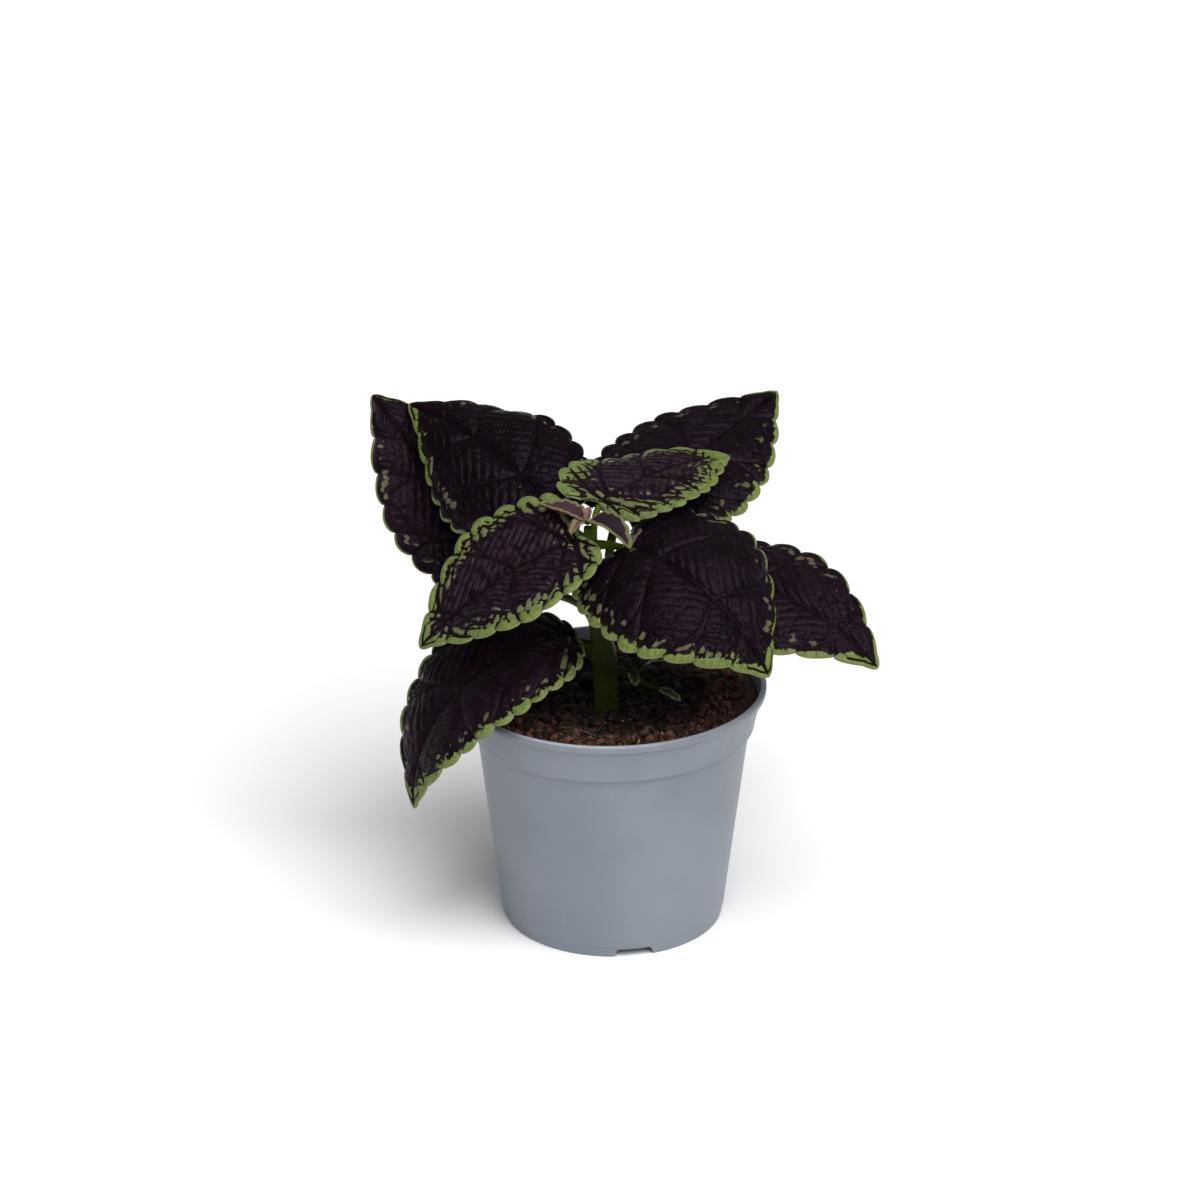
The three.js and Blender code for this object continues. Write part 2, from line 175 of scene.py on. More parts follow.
def stored(tree, name, out="Fac"):
    return add("Attribute", out=out, tree=tree, attribute_name=name)


def heightOf(place):
    return add("SeparateXYZ", {"Vector": place}, out=2)


def stretched(place, upright):
    return add("Mapping", {"Vector": place, "Scale": (1, 1, upright)})


def coat(shader, colour, roughness, specular=None):
    plug(shader.inputs["Base Color"], colour)
    plug(shader.inputs["Roughness"], roughness)
    if specular is not None:
        shader.inputs["Specular IOR Level"].default_value = specular


def bump(shader, height, strength, distance):
    plug(shader.inputs["Normal"],
         add("Bump", {"Height": height, "Strength": strength, "Distance": distance}))


# meshes, built in mm and kept in metres

def meshOf(name, points, faces):
    mesh = bpy.data.meshes.new(name)
    mesh.from_pydata(((np.asarray(points) + potAxis) * 0.001).tolist(), [], faces)
    return mesh


def addPiece(name, points, faces, paints, slotName, nodes=(), picks=None, values=None):
    mesh = meshOf(name, points, faces)
    for paint in paints:
        mesh.materials.append(paint)
    if picks is not None:
        mesh.polygons.foreach_set("material_index", np.asarray(picks, dtype=np.int32))
    for key, array in (values or {}).items():
        flat = np.asarray(array, dtype=np.float32)
        kind, field = ("FLOAT_VECTOR", "vector") if flat.ndim == 2 else ("FLOAT", "value")
        layer = mesh.attributes.new(key, kind, "POINT")
        layer.data.foreach_set(field, flat.ravel())
    mesh.update()
    mesh.shade_smooth()
    piece = link(name, mesh)
    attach(piece, "root")
    if nodes:
        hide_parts(*nodes)
    return piece


# Several meshes as one list of points and faces.
def gather(parts):
    points, faces, start = [], [], 0
    for partPoints, partFaces in parts:
        points.append(np.asarray(partPoints, dtype=float))
        faces.extend([tuple(i + start for i in face) for face in partFaces])
        start += len(partPoints)
    return np.concatenate(points), faces


def unit(v):
    return v / np.maximum(np.linalg.norm(v, axis=-1, keepdims=True), 1e-12)


# A closed skin round a path; the section gives a radius for each angle.
def tube(path, radii, sides=10, section=None, front=None):
    path = np.asarray(path, dtype=float)
    along = unit(np.gradient(path, axis=0))
    side = unit(np.cross(front if front is not None else (0.3, 1, 0.2), along[0]))
    rings = []
    for i in range(len(path)):
        side = unit(side - along[i] * np.dot(side, along[i]))
        other = np.cross(along[i], side)
        angles = np.arange(sides) * 2 * math.pi / sides
        reach = radii[i] * (section(angles, i) if section else np.ones(sides))
        rings.append(path[i] + (reach * np.cos(angles))[:, None] * side
                     + (reach * np.sin(angles))[:, None] * other)
    points = np.concatenate(rings + [path[:1], path[-1:]])
    faces = []
    for r in range(len(path) - 1):
        for k in range(sides):
            a, b = r * sides + k, r * sides + (k + 1) % sides
            faces.append((a, b, b + sides, a + sides))
    last = (len(path) - 1) * sides
    low, high = len(points) - 2, len(points) - 1
    for k in range(sides):
        faces.append((low, (k + 1) % sides, k))
        faces.append((high, last + k, last + (k + 1) % sides))
    return points, faces


# Points on a curve from a to c that is drawn towards b.
def bow(a, b, c, count):
    t = np.linspace(0, 1, count)[:, None]
    return (1 - t) ** 2 * a + 2 * (1 - t) * t * b + t ** 2 * c


def bezier(a, b, c, d, count):
    t = np.linspace(0, 1, count)[:, None]
    return (1 - t) ** 3 * a + 3 * (1 - t) ** 2 * t * b + 3 * (1 - t) * t ** 2 * c + t ** 3 * d


# A smooth path through points, by the centripetal rule.
def throughPoints(points, steps):
    points = np.asarray(points, dtype=float)
    ends = [2 * points[0] - points[1], *points, 2 * points[-1] - points[-2]]
    path = []
    for p0, p1, p2, p3 in zip(ends, ends[1:], ends[2:], ends[3:]):
        t1 = np.linalg.norm(p1 - p0) ** 0.5
        t2 = t1 + np.linalg.norm(p2 - p1) ** 0.5
        t3 = t2 + np.linalg.norm(p3 - p2) ** 0.5
        for t in np.linspace(t1, t2, steps, endpoint=False):
            a1 = p0 * (t1 - t) / t1 + p1 * t / t1
            a2 = p1 * (t2 - t) / (t2 - t1) + p2 * (t - t1) / (t2 - t1)
            a3 = p2 * (t3 - t) / (t3 - t2) + p3 * (t - t2) / (t3 - t2)
            b1 = a1 * (t2 - t) / t2 + a2 * t / t2
            b2 = a2 * (t3 - t) / (t3 - t1) + a3 * (t - t1) / (t3 - t1)
            path.append(b1 * (t2 - t) / (t2 - t1) + b2 * (t - t1) / (t2 - t1))
    path.append(points[-1])
    return np.array(path)


# pot

potShape = {
    "height": 100, "rimRadius": 60, "rimWidth": 2.2, "rimDepth": 3,
    "lipTop": 58.4, "lipBottom": 55.6, "lipHeight": 83.5,
    "shoulder": 53.6, "shoulderHeight": 82,
    "foot": 44.4, "footBand": 4, "footStep": 0.4,
    "floorBottom": 3.5, "floorThickness": 2, "wall": 1.6,
    "wallSteps": [(30, 0.25), (58, 0.2)],  # heights, and how far the faint steps stand out
    "squeeze": 0.035, "squeezeAngle": 19,  # the rim is pressed slightly out of round
    "notchFrom": -79, "notchWidth": 17, "notchTopWidth": 13, "notchHeight": 3.4,
    "drainRadius": 3.5, "drainCircle": 32, "drainHoles": 8,
    "sides": 240,
}
potLook = {
    "colour": tint(126, 133, 143),
    "shade": tint(116, 124, 134),
    "dust": tint(160, 160, 162),
    # rim: the pale colour of the painted highlight along the rim's top edge
    "rim": tint(168, 174, 186),
    "paintedRimHighlight": (0.0994, 0.0999),  # metres up, where a pale line is painted along the rim's top edge as a highlight
    "roughness": 0.42,
}


# Pushes points out of round as the thin wall is, more towards the rim.
def squeezed(points):
    points = np.asarray(points, dtype=float).copy()
    angle = np.arctan2(points[:, 1], points[:, 0])
    share = np.maximum(0, points[:, 2] / potShape["height"])
    k = 1 + potShape["squeeze"] * share * np.cos(2 * (angle - potShape["squeezeAngle"] * radians))
    points[:, :2] *= k[:, None]
    return points


# Rounds the corners of a profile: each corner gives a few points on a small arc.
def rounded(corners, count=4):
    profile = []
    for i, (x, z, r) in enumerate(corners):
        here = np.array([x, z], dtype=float)
        if r == 0 or i in (0, len(corners) - 1):
            profile.append(here)
            continue
        before = np.array(corners[i - 1][:2], dtype=float)
        after = np.array(corners[i + 1][:2], dtype=float)
        reach = min(r, np.linalg.norm(before - here) * 0.45, np.linalg.norm(after - here) * 0.45)
        a = here + unit(before - here) * reach
        b = here + unit(after - here) * reach
        profile.extend(bow(a, here, b, count))
    return profile


# Turns a closed or axis-ended profile about the upright axis.
def turned(profile, sides):
    points, faces, rings = [], [], []
    for r, z in profile:
        if r < 1e-6:
            rings.append([len(points)] * sides)
            points.append((0, 0, z))
            continue
        rings.append(list(range(len(points), len(points) + sides)))
        for k in range(sides):
            angle = 2 * math.pi * k / sides
            points.append((r * math.cos(angle), r * math.sin(angle), z))
    for low, high in zip(rings, rings[1:]):
        for k in range(sides):
            n = (k + 1) % sides
            face = []
            for index in (low[k], low[n], high[n], high[k]):
                if index not in face:
                    face.append(index)
            if len(face) > 2:
                faces.append(tuple(face))
    return np.array(points), faces


def cutWith(piece, points, faces):
    cutter = link("cutter", meshOf("cutter", points, faces))
    step = piece.modifiers.new("cut", "BOOLEAN")
    step.operation = "DIFFERENCE"
    step.solver = "EXACT"
    step.object = cutter
    settle(piece)
    bpy.data.objects.remove(cutter)


# Keeps a piece's mesh as its modifiers leave it.
def settle(piece):
    graph = bpy.context.evaluated_depsgraph_get()
    mesh = bpy.data.meshes.new_from_object(piece.evaluated_get(graph))
    piece.modifiers.clear()
    old = piece.data
    piece.data = mesh
    bpy.data.meshes.remove(old)


def potPaint():
    paint, tree, shader = newMaterial("potPlastic")
    place = meshPlace(tree)
    cloud = grain(place, 22, 4)
    fine = grain(place, 900, 3, 0.7)
    streak = grain(stretched(place, 0.12), 160, 3)
    colour = blendColour(rise(cloud, 0.35, 0.7), potLook["shade"], potLook["colour"])
    colour = blendColour(times(rise(streak, 0.55, 0.8), 0.08), colour, potLook["dust"])
    scuff = times(rise(grain(place, 70, 5, 0.7), 0.62, 0.8), 0.2)
    colour = blendColour(scuff, colour, potLook["dust"])
    # Painted highlight: the rim's top edge is lightened in patches to form a bright line.
    paintedRimHighlight = times(rise(heightOf(place), *potLook["paintedRimHighlight"]), rise(cloud, 0.2, 0.6))
    colour = blendColour(paintedRimHighlight, colour, potLook["rim"])
    rough = timesPlus(cloud, 0.12, potLook["roughness"] - 0.06)
    coat(shader, colour, timesPlus(scuff, 0.3, rough))
    bump(shader, timesPlus(streak, 0.5, fine), 0.12, 0.0002)
    return paint


def makePot():
    p = potShape
    rimBottom = p["height"] - p["rimDepth"]
    slope = (p["shoulder"] - p["foot"]) / p["shoulderHeight"]
    bandTop = p["foot"] + slope * p["footBand"]
    floorTop = p["floorBottom"] + p["floorThickness"]
    floorRadius = p["foot"] + slope * floorTop - p["wall"]
    corners = [
        (p["foot"] - p["wall"] / 2, 0, 0),
        (p["foot"], 0, 0.5),
        (bandTop, p["footBand"], 0.4),
        (bandTop + p["footStep"], p["footBand"] + p["footStep"], 0.4),
        *[(p["foot"] + slope * z + step, z, 0.4) for z, step in p["wallSteps"]],
        (p["shoulder"], p["shoulderHeight"], 0.5),
        (p["lipBottom"], p["lipHeight"] - 0.5, 0.5),
        (p["lipBottom"] + 0.15, p["lipHeight"] + 1.5, 0.6),
        (p["lipTop"], rimBottom, 0.2),
        (p["rimRadius"] - 0.2, rimBottom - 0.1, 0.4),
        (p["rimRadius"], p["height"] - 0.2, 0.9),
        (p["rimRadius"] - p["rimWidth"], p["height"], 0.7),
        (p["lipTop"] - p["wall"], rimBottom, 0.8),
        (p["lipBottom"] - p["wall"], p["lipHeight"], 0.8),
        (p["shoulder"] - p["wall"], p["shoulderHeight"] - 1, 0.8),
        (floorRadius, floorTop, 1.2),
        (0, floorTop, 0),
        (0, p["floorBottom"], 0),
        (p["foot"] - p["wall"], p["floorBottom"], 0.8),
        (p["foot"] - p["wall"], 0, 0.3),
        (p["foot"] - p["wall"] / 2, 0, 0),
    ]
    profile = rounded(corners)[:-1]
    points, faces = turned(profile, p["sides"])
    sides = p["sides"]
    last = len(points) - sides
    faces += [(last + k, last + (k + 1) % sides, (k + 1) % sides, k) for k in range(sides)]
    pot = addPiece("pot_shell", squeezed(points), faces, [potPaint()], "pot", ["pot"])
    for i in range(4):
        angle = (p["notchFrom"] + 90 * i) * radians
        out = np.array([math.cos(angle), math.sin(angle), 0])
        across = np.array([-out[1], out[0], 0])
        low, top, height = p["notchWidth"] / 2, p["notchTopWidth"] / 2, p["notchHeight"]
        outline = [(-low, -1), (low, -1), (top + 0.5, height - 0.5), (top - 0.4, height),
                   (-top + 0.4, height), (-top - 0.5, height - 0.5)]
        box = [out * reach + across * x + up * z
               for reach in (p["foot"] - 6, p["foot"] + 6) for x, z in outline]
        n = len(outline)
        walls = [(k, (k + 1) % n, (k + 1) % n + n, k + n) for k in range(n)]
        cutWith(pot, box, walls + [tuple(range(n - 1, -1, -1)), tuple(range(n, 2 * n))])
    holes = []
    for i in range(p["drainHoles"]):
        angle = (i + 0.5) * 2 * math.pi / p["drainHoles"]
        centre = np.array([math.cos(angle), math.sin(angle), 0]) * p["drainCircle"]
        holes.append(tube([centre + up * z for z in (2, 4, 8)], [p["drainRadius"]] * 3, 28))
    cutWith(pot, *gather(holes))
    pot.data.set_sharp_from_angle(angle=35 * radians)
    return pot


# soil

soilShape = {
    "top": 95.5, "lump": 1.1,  # mm, as the solid beneath
    "sectors": 260, "rings": 100,
    # sizes run from size to size + spread, more small ones for a higher power
    "crumbs": dict(count=2200, widest=53.5, size=0.3, spread=0.6, power=2, lift=0.2, detail=1,
                   dent=0.6),
    "lumps": dict(count=760, widest=52, size=0.8, spread=2.0, power=2, lift=0.05, detail=2,
                  dent=0.8),
    "perlite": dict(count=26, widest=51, size=0.2, spread=0.35, power=1, lift=0.6, detail=2,
                    dent=0.9),
    "fibres": 260,
    "twig": [(-22, -34, 97.6), (-14, -38, 98), (-6.5, -42, 97.2)],
    # place, lean and length
    "chips": [(9, -47, 0.3, 4.2), (20, -40, -0.5, 2.6), (-2, -43, 0.6, 2.4), (33, -30, 0.4, 2.8)],
    "stemAt": (-2.8, -12.4), "stemClear": 6.5,  # nothing lies closer to the stem
    "seed": 41,
}
soilLook = {
    "dark": tint(6, 4, 3),
    "brown": tint(104, 68, 56),
    "rust": tint(176, 124, 100),
    "fibre": tint(112, 74, 52),
    "perlite": tint(172, 150, 122),
    "perliteShade": tint(196, 188, 172),
    "twig": tint(126, 98, 86),
    "twigShade": tint(84, 58, 48),
    "chip": tint(190, 158, 112),
    "chipShade": tint(120, 84, 54),
}


def soilHeight(x, y):
    lumps = np.sin(0.31 * x + 1.3) * np.cos(0.27 * y - 0.6) + 0.6 * np.sin(0.53 * y + 0.21 * x)
    edge = np.clip((54 - np.hypot(x, y)) / 8, 0, 1)
    return soilShape["top"] + soilShape["lump"] * (0.5 * lumps * edge - 0.3 * (1 - edge))


# Adds the crumbly relief to the soft form of the surface.
def peatHeight(x, y):
    fine = 0.0
    for scale, reach in ((0.16, 1.0), (0.4, 1.3), (0.95, 0.9)):
        fine += reach * noise.noise(Vector((x * scale, y * scale, 3.7)))
    return float(soilHeight(x, y)) + fine


def peatPaint(name, pale):
    paint, tree, shader = newMaterial(name)
    place = meshPlace(tree)
    patch = grain(place, 260, 5, 0.65)
    fine = grain(place, 1500, 4, 0.7)
    centre = (potAxis[0] * 0.001, potAxis[1] * 0.001, 0.095)
    away = add("VectorMath", {0: place, 1: centre}, out=1, operation="DISTANCE")
    litTowardsRim = timesPlus(rise(away, 0.03, 0.045), 0.8, 0.2)  # painted shade: the peat is darker towards the middle, under the plant, and browner and lighter towards the rim
    brown = times(rise(patch, 0.46, 0.58), times(litTowardsRim, 0.3 + 2.6 * pale))
    colour = blendColour(brown, soilLook["dark"], soilLook["brown"])
    warm = times(rise(fine, 0.5, 0.75), times(litTowardsRim, 0.6 + pale))
    colour = blendColour(warm, colour, soilLook["rust"])
    coat(shader, colour, timesPlus(patch, 0.9, 0.15), 0.25)
    bump(shader, fine, 0.8, 0.0007)
    return paint


def roughGrain(name, colour, shade, roughness):
    paint, tree, shader = newMaterial(name)
    mix = grain(meshPlace(tree), 700, 4, 0.6)
    coat(shader, blendColour(rise(mix, 0.35, 0.65), shade, colour), roughness)
    bump(shader, mix, 0.4, 0.0003)
    return paint


def ball(detail):
    shape = bmesh.new()
    bmesh.ops.create_icosphere(shape, subdivisions=detail, radius=1)
    points = np.array([v.co[:] for v in shape.verts])
    faces = [tuple(v.index for v in f.verts) for f in shape.faces]
    shape.free()
    return points, faces


# An uneven lump: a ball stretched and dented by noise.
def crumb(chance, centre, size, detail, dent):
    points, faces = ball(detail)
    shift = Vector(chance.uniform(0, 60, 3))
    swell = np.array([1 + dent * noise.noise(Vector(p) * 1.4 + shift) for p in points])
    stretch = chance.uniform(0.6, 1.25, 3)
    return (points * swell[:, None] * stretch) @ randomTurn(chance) * size + centre, faces


def randomTurn(chance):
    a, b, c = chance.uniform(0, 2 * math.pi, 3)
    ca, sa, cb, sb, cc, sc = (f(v) for v in (a, b, c) for f in (math.cos, math.sin))
    return (np.array([[ca, -sa, 0], [sa, ca, 0], [0, 0, 1]])
            @ np.array([[1, 0, 0], [0, cb, -sb], [0, sb, cb]])
            @ np.array([[cc, -sc, 0], [sc, cc, 0], [0, 0, 1]]))


def soilSpot(chance, widest):
    stemX, stemY = soilShape["stemAt"]
    while True:
        x, y = chance.uniform(-widest, widest, 2)
        fromStem = math.hypot(x - stemX, y - stemY)
        if math.hypot(x, y) < widest and fromStem > soilShape["stemClear"]:
            return x, y


def strewn(chance, count, widest, size, spread, power, lift, detail, dent):
    lumps = []
    for _ in range(count):
        x, y = soilSpot(chance, widest)
        reach = size + spread * chance.random() ** power
        lumps.append(crumb(chance, (x, y, peatHeight(x, y) + reach * lift), reach, detail, dent))
    return lumps


def makeSoil():
    p = potShape
    s = soilShape
    chance = np.random.default_rng(s["seed"])
    slope = (p["shoulder"] - p["foot"]) / p["shoulderHeight"]
    bottom = p["floorBottom"] + p["floorThickness"] + 0.3
    topRadius = p["lipTop"] - p["wall"] - 0.7
    profile = [(0, bottom), (p["foot"] + slope * bottom - p["wall"] - 0.5, bottom),
               (p["shoulder"] - p["wall"] - 0.5, p["shoulderHeight"] - 1),
               (p["lipBottom"] - p["wall"] - 0.5, p["lipHeight"])]
    profile += [(topRadius * (1 - i / s["rings"]), s["top"]) for i in range(s["rings"] + 1)]
    points, faces = turned(profile, s["sectors"])
    points = squeezed(points)
    for point in points:
        if point[2] > s["top"] - 1e-3:
            near = min(1, max(0, (topRadius - math.hypot(point[0], point[1])) / 3))
            base = float(soilHeight(point[0], point[1]))
            point[2] = base + near * (peatHeight(point[0], point[1]) - base)
    addPiece("peat", points, faces, [peatPaint("peatGround", 0.0)], "soil", ["soil"])
    crumbs = strewn(chance, **s["crumbs"]) + strewn(chance, **s["lumps"])
    addPiece("peat_crumbs", *gather(crumbs), [peatPaint("peatCrumb", 0.3)], "soil")
    parts = []
    for _ in range(s["fibres"]):
        x, y = soilSpot(chance, 50)
        heading = chance.uniform(0, 2 * math.pi)
        length = 2 + 7 * chance.random() ** 2
        curl = chance.uniform(-0.9, 0.9)
        path = []
        for t in np.linspace(0, 1, 7):
            turn = heading + curl * t
            px = x + math.cos(turn) * length * (t - 0.5)
            py = y + math.sin(turn) * length * (t - 0.5)
            path.append((px, py, peatHeight(px, py) + 0.25 + 0.5 * math.sin(math.pi * t)))
        width = chance.uniform(0.07, 0.2)
        radii = [width * (1 - 0.6 * abs(2 * t - 1)) for t in np.linspace(0, 1, 7)]
        parts.append(tube(path, radii, 4))
    addPiece("peat_fibres", *gather(parts),
             [roughGrain("peatFibre", soilLook["fibre"], soilLook["brown"], 0.7)], "soil")
    addPiece("perlite", *gather(strewn(chance, **s["perlite"])),
             [roughGrain("perliteGrain", soilLook["perlite"], soilLook["perliteShade"], 0.8)], "soil")
    twig = throughPoints(s["twig"], 8)
    section = lambda angles, _: 0.5 + 0.5 * np.abs(np.cos(angles))
    radii = np.interp(np.arange(len(twig)), [0, 3, 12, 16], [0.12, 0.34, 0.3, 0.1])
    addPiece("root_fibre", *tube(twig, radii, 8, section),
             [roughGrain("rootFibre", soilLook["twig"], soilLook["twigShade"], 0.5)], "soil")
    chips = []
    for x, y, lean, length in s["chips"]:
        root = np.array([x, y, peatHeight(x, y) - 0.6])
        tip = root + np.array([math.sin(lean), -0.2, math.cos(lean)]) * length
        path = [root, root + (tip - root) * 0.6, tip]
        chips.append(tube(path, [0.75, 0.6, 0.15], 6, section, front=(0, 1, 0.1)))
    addPiece("wood_chips", *gather(chips),
             [roughGrain("chipWood", soilLook["chip"], soilLook["chipShade"], 0.6)], "soil")


# leaves

blade = {
    "rows": 174, "columns": 104,
    "youngRows": 72, "youngColumns": 36,
    "widest": 0.36, "taper": 0.95, "endHalf": 0.5, "lobeReach": 0.35,
    "scallop": 2.9, "scallopShare": 0.22,  # mm, and at most this share of the half width
    "toothRound": 0.6,
    "crowd": 1.1,  # how much closer the teeth stand towards the base
    "plainTip": 0.1,  # the last tooth runs out long into the tip
    "thickness": 0.5,
    "puff": 1.0,  # mm that the blade swells between the large veins
    "quilt": 0.9,  # mm that it swells in the small cells
    "wave": 0.5,  # mm that the margin rises and falls
    "puckered": 0.4,  # share of the quilt that a leaf shows
    "rungs": 3.6,  # mm between the cross veins
    "veinPoints": 15,
    "blunt": 4.5,  # mm of each tip that is rounded off
}

# The CAD's values for each blade, and how far the lime reaches into the teeth, in mm: at the
# base, in the middle, further out and at the tip, on the left (negative) and right side.
# deep: how far a blade is darkened to near-black, as painted shade for blades that lie in the shade
# of others
largeLeaves = {
    "leaf_low_left": dict(
        base=(-14, -15, 128), heading=201, rise=10, droop=105, bend=-1, roll=12,
        length=109, width=64, fold=10, curl=28, lobe=3, teeth=13, stalkFrom=118, stalk=2.2,
        left=(2.6, 4.2, 4.2, 7.5), right=(1.8, 2.4, 2.8, 5), tone=0.1, spots=0.8,
        puckered=0.22),
    "leaf_upper_left": dict(
        base=(-14, -19, 173), heading=194, rise=-20, droop=28, bend=-6, roll=18,
        length=77, width=65, fold=10, curl=10, lobe=11, teeth=11, stalkFrom=159, stalk=1.6,
        left=(5.5, 5, 5, 8.5), right=(5, 4.8, 4.6, 7.5), tone=0.8, spots=1,
        rungs=2.8, puckered=0.8, spurs=0.6),
    "leaf_upper_right": dict(
        base=(-6, -5.7, 181.4), heading=46, rise=11, droop=21, bend=-8, roll=-3, length=71,
        width=54, fold=10, curl=22, lobe=8, uneven=0.65, teeth=11, stalkFrom=159, stalk=1.6,
        left=(7, 1, 4, 32), right=(6, 4.2, 9, 32), tone=0.9, spots=1, rungs=3, spurs=0.6,
        sags=[(-1, 0.5, 0.15, 4), (-1, 0.14, 0.14, -6), (1, 0.08, 0.1, 4)]),
    "leaf_front_right": dict(
        base=(5, -19, 169), heading=311, rise=9, droop=74, bend=26, roll=-23,
        length=85, width=79, fold=12, curl=55, lobe=20, teeth=12, scallop=3,
        stalkFrom=165, stalk=1.7,
        left=(0.7, 1.5, 2.6, 7), right=(2.3, 2.8, 3.3, 7), tone=0.15, spots=0.85, deep=0.5),
    "leaf_low_right": dict(
        base=(31, -4, 148), heading=332, rise=16, droop=60, bend=-2, roll=-22,
        length=89, width=59, fold=10, curl=37, lobe=7, teeth=9, stalkFrom=131, stalk=2,
        left=(0.5, 1, 1.4, 3.5), right=(1.4, 2.6, 3, 4.5), tone=0.1, spots=0.75, deep=0.15),
    "leaf_back_right": dict(
        base=(5, 20, 169), heading=48, rise=13, droop=-2, bend=-2, roll=-14,
        length=94, width=68, fold=10, curl=38, lobe=16, teeth=13, stalkFrom=119, stalk=2.2,
        left=(0.2, 0.3, 0.6, 2.5), right=(2, 2.2, 2.1, 2.4), tone=0.1, spots=0.75, deep=0.45),
    "leaf_back_left": dict(
        base=(-24, 10.5, 170), heading=132, rise=33, droop=32, bend=10, roll=25, length=85,
        width=70, fold=12, curl=78, lobe=11, uneven=0.3, teeth=12, stalkFrom=165, stalk=1.7,
        left=(3, 0.9, 3.2, 3.4), right=(0.4, 0.4, 0.6, 1.2), tone=0.15, spots=0.85,
        deep=0.75, caps=0.8,
        sags=[(1, 0.62, 0.12, 4), (1, 0.35, 0.4, -9)]),
    "leaf_far_left": dict(
        base=(-44, 42.5, 132.5), heading=155, rise=49, droop=0, bend=5, roll=36,
        length=88, width=62, fold=12, curl=36, lobe=9, teeth=10, stalkFrom=131, stalk=2,
        left=(0.5, 0.5, 0.6, 1.3), right=(0.5, 0.5, 0.6, 1.3), tone=0.15, spots=0.8,
        deep=0.25, caps=0.4),
}
bud = {"place": (-10.4, -14.8, 177), "radius": 2.0}
youngLeaves = [
    dict(heading=162, rise=24, droop=22, length=20, width=13, fold=30, curl=10, lobe=1, tone=0.1),
    dict(heading=318, rise=24, droop=75, length=24, width=14, fold=26, curl=10, lobe=1, tone=0),
    dict(heading=236, rise=30, droop=80, length=11, width=6, fold=30, curl=10, lobe=0, tone=0.3),
    dict(heading=60, rise=78, droop=20, length=5, width=3.5, fold=30, curl=10, lobe=0, tone=1),
]
leafLook = {
    "dark": tint(16, 8, 14),
    "plum": tint(27, 14, 24),
    # deep: near-black, painted shade on blades that lie under others
    "deep": tint(6, 2, 5),
    # cell: paler cell colour, partly the cells' own and partly painted sheen on the swollen cells
    "cell": tint(48, 36, 44),
    "rim": tint(116, 120, 88),
    "lime": tint(107, 121, 66),
    "leaf": tint(90, 105, 50),
    "limePale": tint(132, 142, 90),
    "capInner": tint(84, 94, 52),
    "secondRow": tint(100, 105, 70),
    "thirdRow": tint(92, 84, 68),
    "veinInGreen": tint(18, 13, 8),
    "underside": tint(70, 28, 40),
    "undersideVein": tint(112, 70, 72),
    "undersideGreen": tint(112, 130, 76),
    "felt": tint(104, 110, 60),
    "feltMauve": tint(112, 102, 78),
    "pink": tint(150, 108, 106),
    "youngDark": tint(44, 24, 40),
    "roughness": 0.34,
}


def outlineShare(s):
    b = blade["taper"]
    a = b * blade["widest"] / (1 - blade["widest"])
    top = blade["widest"] ** a * (1 - blade["widest"]) ** b
    return np.clip(s, 0, 1) ** a * np.clip(1 - s, 0, 1) ** b / top


# Midrib point, direction, side and upper normal at shares of a blade's length.
def bladeFrames(leaf, s):
    fine = np.linspace(0, 1, 1201)
    heading = (leaf["heading"] + leaf["bend"] * fine) * radians
    pitch = (leaf["rise"] - leaf["droop"] * fine) * radians
    along = np.stack([np.cos(pitch) * np.cos(heading), np.cos(pitch) * np.sin(heading),
                      np.sin(pitch)], 1)
    side = np.stack([np.sin(heading), -np.cos(heading), 0 * heading], 1)
    normal = np.cross(side, along)
    roll = leaf["roll"] * radians
    sideways = side * math.cos(roll) + normal * math.sin(roll)
    upward = normal * math.cos(roll) - side * math.sin(roll)
    steps = (along[1:] + along[:-1]) / 2 * leaf["length"] / (len(fine) - 1)
    middle = np.concatenate([np.zeros((1, 3)), np.cumsum(steps, 0)]) + np.array(leaf["base"])
    pick = lambda a: np.stack([np.interp(s, fine, a[:, k]) for k in range(3)], -1)
    return pick(middle), pick(along), pick(sideways), pick(upward)


def lobeSweep(leaf, s):
    return 2 * leaf["lobe"] * outlineShare(s) * np.maximum(0, 1 - s / blade["lobeReach"]) ** 1.5


# Shares of the length and, for each, how far round the smooth outline it lies, 0 to 1.
def outlineRun(leaf):
    s = np.linspace(0, 1, 801)
    u = s * leaf["length"] - lobeSweep(leaf, s)
    v = leaf["width"] / 2 * outlineShare(s)
    run = np.concatenate([[0], np.cumsum(np.hypot(np.diff(u), np.diff(v)))])
    return s, run / run[-1]


def shareAtRun(leaf, run):
    s, runs = outlineRun(leaf)
    return np.interp(run, runs, s)


# How far round the outline the teeth have come, for a share of their number.
def runOfTeeth(phase):
    return (1 - blade["plainTip"]) * phase ** blade["crowd"] + blade["plainTip"] * phase ** 8


# Counts the teeth passed at a share of the length.
def toothCount(leaf, s):
    shares, runs = outlineRun(leaf)
    phase = np.linspace(0, 1, 801)
    return leaf["teeth"] * np.interp(np.interp(s, shares, runs), runOfTeeth(phase), phase)


# 1 at the crown of each rounded tooth and 0 in the notches.
def toothShare(leaf, s):
    return np.abs(np.sin(math.pi * toothCount(leaf, s))) ** blade["toothRound"]


# How far the blade hangs below its plain form: sags as side, place, reach and depth.
def sagAt(leaf, s, t):
    depth = np.zeros(np.shape(t))
    for sign, at, reach, drop in leaf.get("sags", []):
        depth += np.where(t * sign > 0, drop * t ** 2 * np.exp(-((s - at) / reach) ** 2), 0)
    return depth


